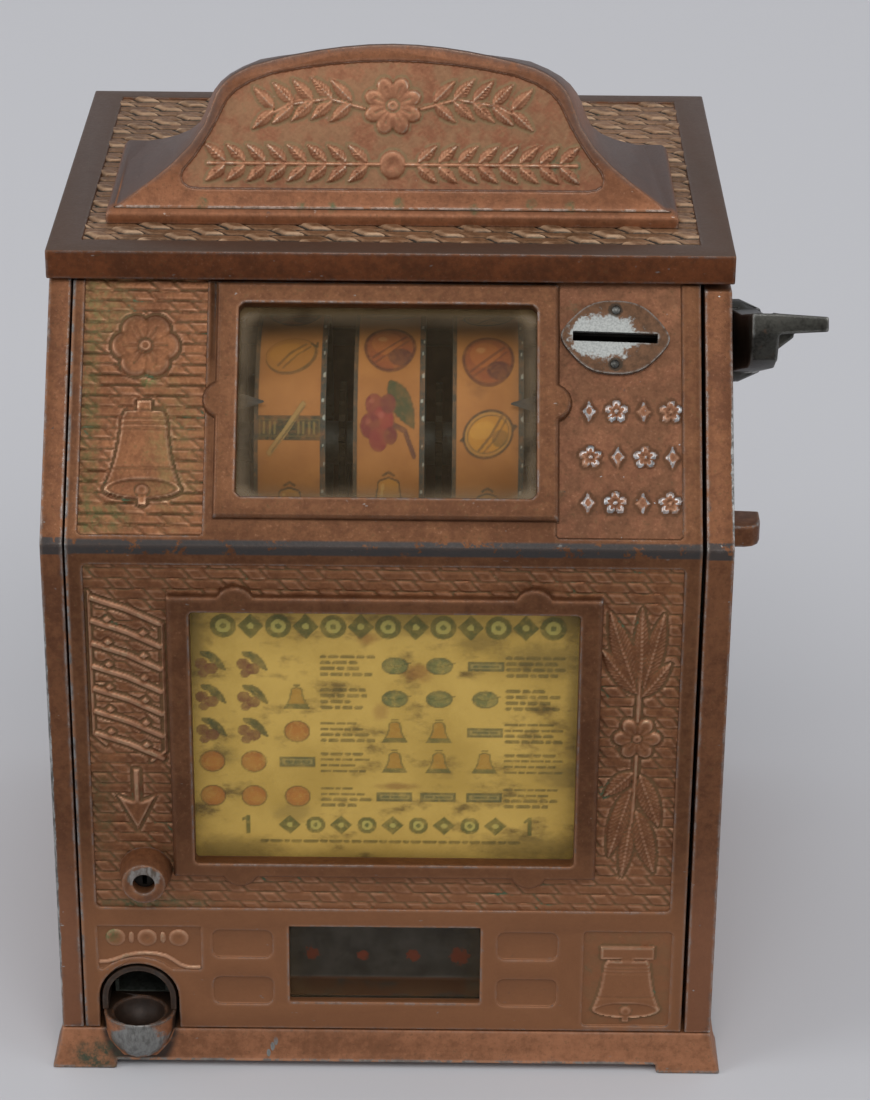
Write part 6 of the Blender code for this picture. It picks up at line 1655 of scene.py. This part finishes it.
@dataclass
class Lid:
    """Lid casting with basket weave round the marquee's foot."""

    width: float = 192.6
    front: float = 60.5
    rear: float = 204.5

    def build(self, paint: Material) -> None:
        """Makes the lid and its weave.

        Args:
            paint: finish of the casting.
        """
        # The weave's near-black hollows are dirt and painted shade; its pale crests are polish and painted highlight.
        dusty = CopperPaint(
            "dusty_weave", "967052", "664930", edges=False, wear=0.1, dirt_and_shade="231c12", dirt_and_shade_amount=1.0, metal=0.4,
            polish_and_highlight="d8b694", bare="cfae8e", bare_deep="a58466",
        )
        slot = "dark_copper_paint"
        Piece("lid", slot=slot, node="lid_casting").soften(paint, 0.6, 3)
        half = self.width / 2 + 0.5
        bounds, foot = (-half, half, self.front, self.rear), outside(-89.5, 89.5, 78.5, 144.5)
        weave = Weave(4.9, 12.6, 7.4, 0.9, 1.4, cut=1.0, low=0.42)
        sheet = ReliefSheet("lid_weave", LID_TOP, bounds, 0.0, [], weave, 0.47, foot, body=Body.CASE, slot=slot)
        sheet.build(dusty.material())


@dataclass
class Marquee:
    """Arched marquee with its sunk panel of flower and leaves."""

    half_width: float = 88.9
    slant: float = 53.33
    panel: tuple[tuple[Pair, ...], ...] = (
        ((0.0, 0.143), (0.20, 0.143), (0.50, 0.143), (0.69, 0.143)),
        ((0.69, 0.143), (0.745, 0.143), (0.765, 0.19), (0.742, 0.255)),
        ((0.742, 0.255), (0.70, 0.32), (0.63, 0.51), (0.60, 0.63)),
        ((0.60, 0.63), (0.585, 0.69), (0.55, 0.76), (0.43, 0.82)),
        ((0.43, 0.82), (0.29, 0.87), (0.15, 0.90), (0.0, 0.90)),
    )

    def outline(self) -> tuple[Pair, ...]:
        """Outline of the sunk panel.

        Returns:
            The corners.
        """
        right = []
        for curve in self.panel:
            for step in range(8):
                t = step / 8
                weights = ((1 - t) ** 3, 3 * t * (1 - t) ** 2, 3 * t**2 * (1 - t), t**3)
                across, up = (sum(w * point[axis] for w, point in zip(weights, curve)) for axis in (0, 1))
                right.append((across * self.half_width, up * self.slant))
        right.append((0.0, 0.90 * self.slant))
        return tuple(right) + tuple((-x, y) for x, y in reversed(right[1:-1]))

    def shapes(self) -> list[Relief]:
        """Flower with leaf sprays above, and a band of leaves and studs below.

        Returns:
            The shapes.
        """
        made: list[Relief] = [Flower((0.0, 34.0), 9.4, 8, 22.5, 1.5, 0.86)]

        def spray(side: int, across: float, start: float, reach: Pair, width: float, veins: float) -> None:
            """Adds one leaf of a spray."""
            tip = (side * (across + reach[0]), reach[1])
            made.append(Leaf((side * across, start), tip, width, 1.35, veins))

        for side in (-1, 1):
            made.append(Stroke(((side * 9, 33.0), (side * 20, 36.0), (side * 33, 34.0), (side * 41, 29.5)), 1.2, 0.9))
            for index, arch in enumerate((0.6, 1.2, 0.8, -0.3, -1.8)):
                across, rise = 13.0 + index * 6.1, 34.6 + arch
                spray(side, across, rise, (6.6, rise + 6.8), 4.3, 1.2)
                spray(side, across, rise - 0.4, (6.8, rise - 6.4), 4.3, 1.2)
            made.append(Stroke(((side * 4.0, 15.6), (side * 30, 15.6), (side * 58.0, 15.6)), 1.3, 0.9))
            for index in range(8):
                across = 8.0 + index * 6.4
                spray(side, across, 16.2, (6.2, 21.8), 4.1, 1.1)
                spray(side, across, 15.0, (6.2, 9.9), 4.1, 1.1)
        made.append(Disc((0.0, 15.6), (4.2, 4.6), 1.4, 0.4))
        return made

    def build(self) -> None:
        """Makes the marquee and its panel."""
        moss = ((-29.0, 2.2), (-19.0, 2.0), (2.0, 3.4), (26.0, 1.8), (44.0, 3.6), (56.0, 2.8), (-60.0, 3.0))
        paint = CopperPaint(
            "marquee_paint", "925f40", "74492f", dusty_top=0.9, dust="574a46", wear=0.7, tarnish="474747", metal=0.6,
            dust_behind=-0.019, rim=0.9, rim_above=0.275, bare="c0aa9c", bare_deep="8a7768",
            stains=stains(CREST, *((*place, 1.6, 1.7, "4b5a3c", 0.9) for place in moss)),
        )
        ground = CopperPaint(
            "marquee_panel_paint", "aa7656", "8a5a40", edges=False, wear=0.4, greenness=0.3, dirt_and_shade_amount=0.75,
            dirt_and_shade="84704e", polish_and_highlight="c08f6e", bare="b59a84", bare_deep="8f7460", metal=0.6,
        )
        Piece("marquee", node="marquee_casting").soften(paint.material(), 0.7, 3, 32.0)
        outline = Plate(self.outline(), 1.0, 0.1)
        corners = np.array(outline.outline)
        low, high = corners.min(0) - 0.8, corners.max(0) + 0.8

        def within(across: Array, up: Array) -> Array:
            """Keeps what lies in the outline or 0.6 millimetres from it."""
            ways = ((1, 0), (-1, 0), (0, 1), (0, -1))
            return np.any([outline.height_at(across + 0.6 * x, up + 0.6 * y) > 0 for x, y in ways], axis=0)

        bounds = (low[0], high[0], low[1], high[1])
        sheet = ReliefSheet(
            "marquee_panel", CREST, bounds, -1.2, self.shapes(), keep=within, grain=0.06, skirt=0.3, body=Body.CASE
        )
        sheet.build(ground.material())


@dataclass
class CoinPlate:
    """Lozenge-shaped plate round the coin slot, with its two screws."""

    centre: Pair = (69.7, 67.4)
    half: Pair = (16.9, 11.8)
    slot: Pair = (26.2, 3.0)
    turn: float = -1.5
    face: float = 0.7
    foot: float = -0.85
    screw_reach: float = 8.7
    screw_radius: float = 1.45

    def build(self) -> None:
        """Makes the plate and the screws."""
        metal = SlotPlateMetal("slot_plate_metal", self.centre, self.screw_reach).material()
        steel = PlainMetal("screw_steel", "6a6a66", "3c3b38", "2a2018", 0.4, 0.9, 0.28).material()
        turn = Matrix.Rotation(math.radians(self.turn), 4, "Z")
        place = SLOPE.matrix() @ Matrix.Translation((*self.centre, 0.0)) @ turn
        Piece("coin_plate", Body.DOOR, "bright_nickel", "coin_entry_plate").finish(self.shape(place), metal)
        for side, up in (("upper", self.screw_reach), ("lower", -self.screw_reach)):
            seat = place @ Matrix.Translation((0, up, self.face + 0.1)) @ Matrix.Rotation(up * 0.2, 4, "Z")
            Piece(f"{side}_plate_screw", Body.DOOR, "bright_nickel").finish(self.screw(seat), steel)

    def shape(self, place: Matrix) -> BMesh:
        """Makes the plate: a rounded lozenge with the slot cut through it.

        Args:
            place: turns the plate's own millimetres into a place in the frame.

        Returns:
            The mesh.
        """
        tool = bmesh.new()
        bmesh.ops.create_circle(tool, segments=72, radius=1.0)
        for vert in tool.verts:
            power = 1.58 + 0.6 * abs(vert.co.y) ** 4
            reach = (abs(vert.co.x) ** power + abs(vert.co.y) ** power) ** (1 / power)
            vert.co = Vector((vert.co.x * self.half[0], vert.co.y * self.half[1], 0.0)) / reach
        wide, high = self.slot
        cut = Matrix.Diagonal((wide, high, 1.0, 1.0))
        bmesh.ops.create_grid(tool, x_segments=1, y_segments=1, size=0.5, matrix=cut)
        bmesh.ops.delete(tool, geom=tool.faces[:], context="FACES_ONLY")
        bmesh.ops.triangle_fill(tool, edges=tool.edges[:], use_beauty=True)
        hole = [f for f in tool.faces if all(abs(v.co.y) < high and abs(v.co.x) < wide * 0.51 for v in f.verts)]
        bmesh.ops.delete(tool, geom=hole, context="FACES_ONLY")
        made = bmesh.ops.extrude_face_region(tool, geom=tool.faces[:], use_keep_orig=True)["geom"]
        bmesh.ops.translate(tool, vec=(0, 0, self.face - self.foot), verts=picked(made, BMVert))
        bmesh.ops.recalc_face_normals(tool, faces=tool.faces)
        sharp = [edge for edge in tool.edges if edge.calc_face_angle(0.0) > 0.9]
        round_over(tool, [edge for edge in sharp if all(vert.co.z > 0.1 for vert in edge.verts)], 0.22, 2)
        bmesh.ops.transform(tool, matrix=place @ Matrix.Translation((0, 0, self.foot)), verts=tool.verts)
        return tool

    def screw(self, seat: Matrix) -> BMesh:
        """Makes a round-headed screw with its slot.

        Args:
            seat: turns the head's own millimetres into a place in the frame.

        Returns:
            The mesh.
        """
        tool = bmesh.new()
        bmesh.ops.create_uvsphere(tool, u_segments=28, v_segments=14, radius=self.screw_radius)
        for point, normal, clears in (
            ((0, 0, -0.3), (0, 0, -1), True), ((0, 0.24, 0), (0, 1, 0), False), ((0, -0.24, 0), (0, 1, 0), False)
        ):
            geom = tool.verts[:] + tool.edges[:] + tool.faces[:]
            bmesh.ops.bisect_plane(tool, geom=geom, plane_co=point, plane_no=normal, clear_outer=clears)
        bmesh.ops.contextual_create(tool, geom=[edge for edge in tool.edges if edge.is_boundary])
        bmesh.ops.scale(tool, vec=(1, 1, 0.62), verts=tool.verts)
        bmesh.ops.recalc_face_normals(tool, faces=tool.faces)
        groove = [f for f in tool.faces if abs(f.calc_center_median().y) < 0.2 and f.normal.z > 0.35]
        made = bmesh.ops.extrude_face_region(tool, geom=groove)["geom"]
        bmesh.ops.translate(tool, vec=(0, 0, -0.35), verts=picked(made, BMVert))
        bmesh.ops.delete(tool, geom=[f for f in groove if f.is_valid], context="FACES_ONLY")
        bmesh.ops.transform(tool, matrix=seat, verts=tool.verts)
        return tool


@dataclass
class Pointers:
    """The two arrowheads that show the level on which the reels' signs are read."""

    tips: Pair = (-38.9, 37.7)
    up: float = 47.9
    size: Triple = (9.6, 3.3, 1.0)
    level: float = -7.15

    def build(self, steel: Material) -> None:
        """Makes both arrowheads.

        Args:
            steel: their finish.
        """
        long, wide, thick = self.size
        half_back = Matrix.Translation((0, 0, -0.5))
        for side, tip, angle in zip(("left", "right"), self.tips, (90.0, -90.0)):
            tool = bmesh.new()
            bmesh.ops.create_cone(
                tool, cap_ends=True, segments=4, radius1=1.0, radius2=0.08, depth=1.0, matrix=half_back
            )
            turn = Matrix.Rotation(math.radians(angle), 4, "Y")
            place = Matrix.Translation((tip, self.up, self.level)) @ turn @ Matrix.Diagonal((thick, wide, long, 1.0))
            bmesh.ops.transform(tool, matrix=SLOPE.matrix() @ place, verts=tool.verts)
            bmesh.ops.recalc_face_normals(tool, faces=tool.faces)
            Piece(f"{side}_arrowhead", Body.DOOR, "dark_steel", f"{side}_pointer", None).finish(tool, steel)


@dataclass
class CoinTray:
    """Bent sheet behind the low window: a back wall and a ledge for the last coins."""

    half_width: float = 36.4
    sheet: float = 1.0
    wall: float = 20.0
    top: float = 56.0
    ledge: float = 20.2
    front: float = 8.2
    rail: float = 1.6
    bend: float = 1.6

    def build(self) -> None:
        """Makes the tray."""
        places = (
            (self.front, self.ledge + self.rail),
            (self.front, self.ledge),
            (self.wall, self.ledge),
            (self.wall, self.top),
        )
        tool = bmesh.new()
        verts = [tool.verts.new((-self.half_width, deep, up)) for deep, up in places]
        for ends in zip(verts, verts[1:]):
            tool.edges.new(ends)
        round_over(tool, verts[1:3], self.bend, 5, "VERTICES")
        made = bmesh.ops.extrude_edge_only(tool, edges=tool.edges[:])["geom"]
        bmesh.ops.translate(tool, vec=(2 * self.half_width, 0, 0), verts=picked(made, BMVert))
        bmesh.ops.recalc_face_normals(tool, faces=tool.faces)
        if sum(face.normal.y for face in tool.faces if abs(face.normal.y) > 0.9) > 0:
            bmesh.ops.reverse_faces(tool, faces=tool.faces)
        bmesh.ops.solidify(tool, geom=tool.faces[:], thickness=self.sheet)
        bmesh.ops.recalc_face_normals(tool, faces=tool.faces)
        shift = Matrix.Translation((SHIFT_X, SHIFT_Y, 0.0))
        bmesh.ops.transform(tool, matrix=Matrix.Scale(MM, 4) @ shift, verts=tool.verts)
        piece = Piece("coin_tray", Body.CASE, "dark_steel", "coin_display_tray")
        piece.finish(tool, TrayMetal("tray_sheet").material())


@dataclass
class Studio:
    """Camera, soft lamps and the pale sheet that the machine stands on."""

    camera: Triple = (4.1, -1012.25, 625.0)
    yaw: float = -0.15
    pitch: float = 25.65
    roll: float = 0.47
    focal: float = 3317.0
    picture_height: float = 1100.0
    sensor: float = 36.0
    floor: float = 2.2
    curve: float = 1.2

    def build(self) -> None:
        """Sets up the studio."""
        self.set_camera()
        self.set_sheet()
        self.set_lamps()

    def set_camera(self) -> None:
        """Puts the camera where the photograph was taken from."""
        yaw, pitch, roll = (math.radians(a) for a in (self.yaw, self.pitch, self.roll))
        forward = Vector((math.sin(yaw) * math.cos(pitch), math.cos(yaw) * math.cos(pitch), -math.sin(pitch)))
        right = Vector((math.cos(yaw), -math.sin(yaw), 0.0))
        up = right.cross(forward)
        across = math.cos(roll) * right + math.sin(roll) * up
        above = -math.sin(roll) * right + math.cos(roll) * up
        data = bpy.data.cameras.new("camera")
        data.lens = self.focal * self.sensor / self.picture_height
        data.sensor_width = self.sensor
        data.clip_start, data.clip_end = 0.05, 20.0
        camera = bpy.data.objects.new("camera", data)
        turn = Matrix((across, above, -forward)).transposed().to_4x4()
        camera.matrix_world = Matrix.Translation(Vector(self.camera) * MM) @ turn
        bpy.context.scene.collection.objects.link(camera)
        bpy.context.scene.camera = camera

    def set_sheet(self) -> None:
        """Lays the floor, which rises behind the machine in one soft curve."""
        tool = bmesh.new()
        bmesh.ops.create_grid(tool, x_segments=2, y_segments=60, size=1.0)
        radius = self.curve / (math.pi / 2)
        for vert in tool.verts:
            along = (vert.co.y + 1.0) * 3.4 - 2.6
            bend = max(0.0, min(along - self.floor, self.curve))
            angle = bend / self.curve * math.pi / 2
            deep = min(along, self.floor) + radius * math.sin(angle)
            tall = radius * (1 - math.cos(angle)) + max(0.0, along - 3.4)
            vert.co = (vert.co.x * 3.5, deep, tall - 0.0002)
        graph = Graph("backdrop")
        cloud = graph.noise(400.0, 2.0)
        # Painted light: lighter further back, making up for the weaker light there so that the sheet looks evenly
        # bright.
        away = graph.axis(1).ramp(-0.6, 1.6)
        colour = graph.mix(away + cloud * 0.04, "c1c2c6", "e0e1e5")
        material = graph.surface(Base_Color=colour, Roughness=0.85, Specular_IOR_Level=0.15)
        mesh = bpy.data.meshes.new("backdrop")
        tool.to_mesh(mesh)
        tool.free()
        mesh.shade_smooth()
        mesh.materials.append(material)
        sheet = bpy.data.objects.new("backdrop", mesh)
        bpy.context.scene.collection.objects.link(sheet)

    def set_lamps(self) -> None:
        """Hangs a large soft key lamp in front, two fill lamps and a grey sky."""
        lamps = (
            ("key", (0.1, -1.25, 1.75), 1.1, 13.0),
            ("left_fill", (-1.6, -0.6, 0.9), 0.9, 8.5),
            ("right_fill", (1.6, -0.7, 0.8), 0.9, 4.5),
        )
        for name, place, size, power in lamps:
            data = bpy.data.lights.new(name, "AREA")
            data.shape, data.size, data.energy = "SQUARE", size, power
            lamp = bpy.data.objects.new(name, data)
            aim = Vector((0, 0, 0.12)) - Vector(place)
            lamp.matrix_world = Matrix.Translation(place) @ aim.to_track_quat("-Z", "Y").to_matrix().to_4x4()
            bpy.context.scene.collection.objects.link(lamp)
        world = bpy.data.worlds.new("sky")
        world.use_nodes = True
        sky = world.node_tree.nodes["Background"].inputs
        sky["Color"].default_value = (0.55, 0.55, 0.56, 1.0)
        sky["Strength"].default_value = 1.0
        bpy.context.scene.world = world


class Case:
    """The castings and the works behind them."""

    def slots(self) -> dict[str, Material]:
        """Makes the finish of each material slot.

        Returns:
            The materials by slot.
        """
        finishes = {
            "copper_paint": CopperPaint("bronze_paint", "70492e", "57351f", knee=True, foot="8c5c3a"),
            "dark_copper_paint": CopperPaint(
                "dark_bronze_paint", "703e20", "522d16", dusty_top=0.85, greenness=0.6, polish_and_highlight="94725c",
                rim=0.35, tarnish="26292a",
            ),
            "dark_steel": PlainMetal("dark_steel", "45443f", "2a2824", "3a2a20", 0.35, 0.8, 0.42),
            "bright_nickel": PlainMetal("worn_nickel", "a2a5a7", "7d8082", "5d4a38", 0.4, 0.8, 0.36),
            "zinc_sheet": PlainMetal("zinc_sheet", "5f635c", "43463f", "3c3526", 0.5, 0.7, 0.5),
            "brass": PlainMetal("brass", "8f7238", "66502a", "3f321c", 0.35, 0.9, 0.4),
            "reel_paper": Paper("plain_paper", "9c6a3c", "7f5128", "5d3f20"),
            "card_paper": Paper("plain_card", "b49f55", "9c8742", "7d6530"),
        }
        return {name: finish.material() for name, finish in finishes.items()}

    def nodes(self) -> dict[str, Material]:
        """Makes the finish of each node that differs from its slot.

        Returns:
            The materials by node.
        """
        finishes = {
            "reel_window_glass": Glass("reel_glass", SLOPE, (-0.6, 46.3), (46.1, 30.8), 0.05, 0.60, shine=0.18),
            "card_glass": Glass("card_window_glass", FRONT, (-0.7, 121.5), (60.2, 44.7), 0.02, 0.10),
            "coin_window_glass": Glass("coin_window_pane", FRONT, (-0.6, 37.9), (30.9, 14.4), 0.03, 0.10),
            "coin_guide": PlainMetal("guide_sheet", "24211d", "14120f", "0d0b08", 0.4, 0.5, 0.6),
            "back_plate": CopperPaint("back_paint", "6f4a33", "513422", wear=0.4),
            "side_cover_plate": CopperPaint("cover_paint", "4d392b", "37281e", wear=0.3),
            "lock_plug": PlainMetal("plug_steel", "2a2825", "161412", "0c0b0a", 0.4, 0.8, 0.4),
            "gum_throat": CopperPaint(
                "throat_paint", "3a2a1e", "1d1610", "4f4034", "332820", polish_and_highlight="4a3426", wear=0.2, metal=0.3
            ),
            "star_wheel": PlainMetal("dull_brass", "3d3420", "262015", "16120b", 0.5, 0.7, 0.6),
            "pointer": PlainMetal("pointer_steel", "24221f", "141210", "120f0c", 0.5, 0.8, 0.42, bright_edge="4a4843"),
        }
        return {name: finish.material() for name, finish in finishes.items()}

    def build(self) -> None:
        """Dresses every node of the frame, then puts the finer pieces in place of the plain ones."""
        slots, special = self.slots(), self.nodes()
        for name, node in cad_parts.items():
            kinds = [kind for kind in ("star_wheel", "pointer") if kind in name]
            slot = node.data.materials[0].name
            node.data.materials[0] = special.get(kinds[0] if kinds else name) or slots[slot]
        self.castings(slots["copper_paint"])
        panel = CopperPaint(
            "panel_paint", bare="a08468", bare_deep="8b6c50", edges=False, wear=0.3, greenness=0.7, dirt_and_shade_amount=0.5,
            dirt_and_shade="54492c", foot="8c5c3a",
            stains=stains(
                FRONT,
                (-76.0, 60.2, 19.0, 2.6, "4c5336", 0.85),
                (-91.0, 48.8, 4.6, 3.4, "41663a", 0.7),
                (-90.0, 95.0, 3.4, 17.0, "524d2f", 0.55),
                (-72.0, 78.0, 13.0, 4.0, "5a5233", 0.4),
            ) + stains(
                SLOPE,
                (-92.0, 40.0, 3.0, 46.0, "56532f", 0.7),
                (-87.0, 9.0, 9.0, 5.0, "4f5a34", 0.6),
                (-74.0, 52.6, 3.0, 2.2, "4d6a38", 0.7),
                (-88.0, 76.0, 8.0, 10.0, "6f6a42", 0.5),
                (-66.0, 30.0, 8.0, 22.0, "71693f", 0.4),
            ),
        )
        rubbed = CopperPaint(
            "rubbed_paint", "81563c", "643f2a", edges=False, wear=1.3, bare="b4b8bb", bare_deep="74787a",
            dirt_and_shade_amount=0.3,
        )
        DoorPanels().build(panel.material(), rubbed.material())
        Lid().build(slots["dark_copper_paint"])
        Marquee().build()
        CoinPlate().build()
        Pointers().build(special["pointer"])
        CoinTray().build()

    def castings(self, paint: Material) -> None:
        """Rounds the castings of the case, the door and the lever.

        Args:
            paint: finish of the door.
        """
        slope_edge = Rub(SLOPE, (106.4, 26.0), (1.3, 30.0), 0.2)
        low_edge = Rub(FRONT, (-106.4, 92.0), (1.3, 88.0), 0.2)
        cup_nose = Rub(FRONT, (-80.5, 12.6), (9.4, 8.4))
        scratches = [Rub(FRONT, place, (0.7, 1.4)) for place in ((-36.2, 9.2), (-37.3, 7.2), (-38.6, 5.2))]
        lock_ring = Rub(FRONT, (-77.0, 75.4), (5.6, 3.6))
        # The first row is painted shade inside the gum cup's bowl; the others are stains.
        marks = stains(
            FRONT,
            (-80.6, 18.0, 13.2, 21.0, "17120d", 0.93, -0.30, -0.07),
            (-95.0, 3.6, 8.0, 5.4, "38402f", 1.0, None, -0.08),
            (-109.5, 6.0, 1.6, 8.0, "565c55", 0.7, None, -0.08),
            (30.0, 1.2, 60.0, 1.0, "4a4f42", 0.6, None, -0.08),
        )
        side = CopperPaint(
            "side_paint", "7b5034", "5e3a25", wear=1.1, knee=True, rubs=(slope_edge, low_edge), bare="aaaaa8",
            foot="87583c",
        ).material()
        base = CopperPaint(
            "base_paint", "9c6746", "774b2e", bare="7f7f7c", metal=0.35, wear=0.55, rubs=(cup_nose, *scratches),
            stains=marks,
        )
        boss = CopperPaint(
            "boss_paint", wear=1.0, metal=0.5, rubs=(lock_ring,), bare="8a8580", bare_deep="5d5248", greenness=0.7
        )
        steel = PlainMetal("lever_steel", "403f3a", "262521", "4a3220", 0.3, 0.8, 0.34, bright_edge="b4b4b0")
        Piece("door", Body.DOOR, node="door_casting").soften(paint)
        Piece("left_side", node="left_side_casting").soften(side)
        Piece("right_side", node="right_side_casting").soften(side)
        Piece("base", node="base_casting").soften(base.material(), 0.6)
        Piece("lock_boss", Body.DOOR, node="lock_barrel").soften(boss.material(), 0.3)
        Piece("lever", Body.LEVER, "dark_steel", "lever_handle").soften(steel.material(), 0.6, 3, merge=0.35)


def main() -> None:
    """Builds the machine's looks piece by piece, then its studio."""
    logging.basicConfig(level=logging.INFO, format="%(relativeCreated)6d ms %(message)s")
    bpy.context.scene.view_settings.view_transform = "Standard"
    for part in (Case, AwardCard, Reels, Studio):
        part().build()


if __name__ == "__main__":
    main()
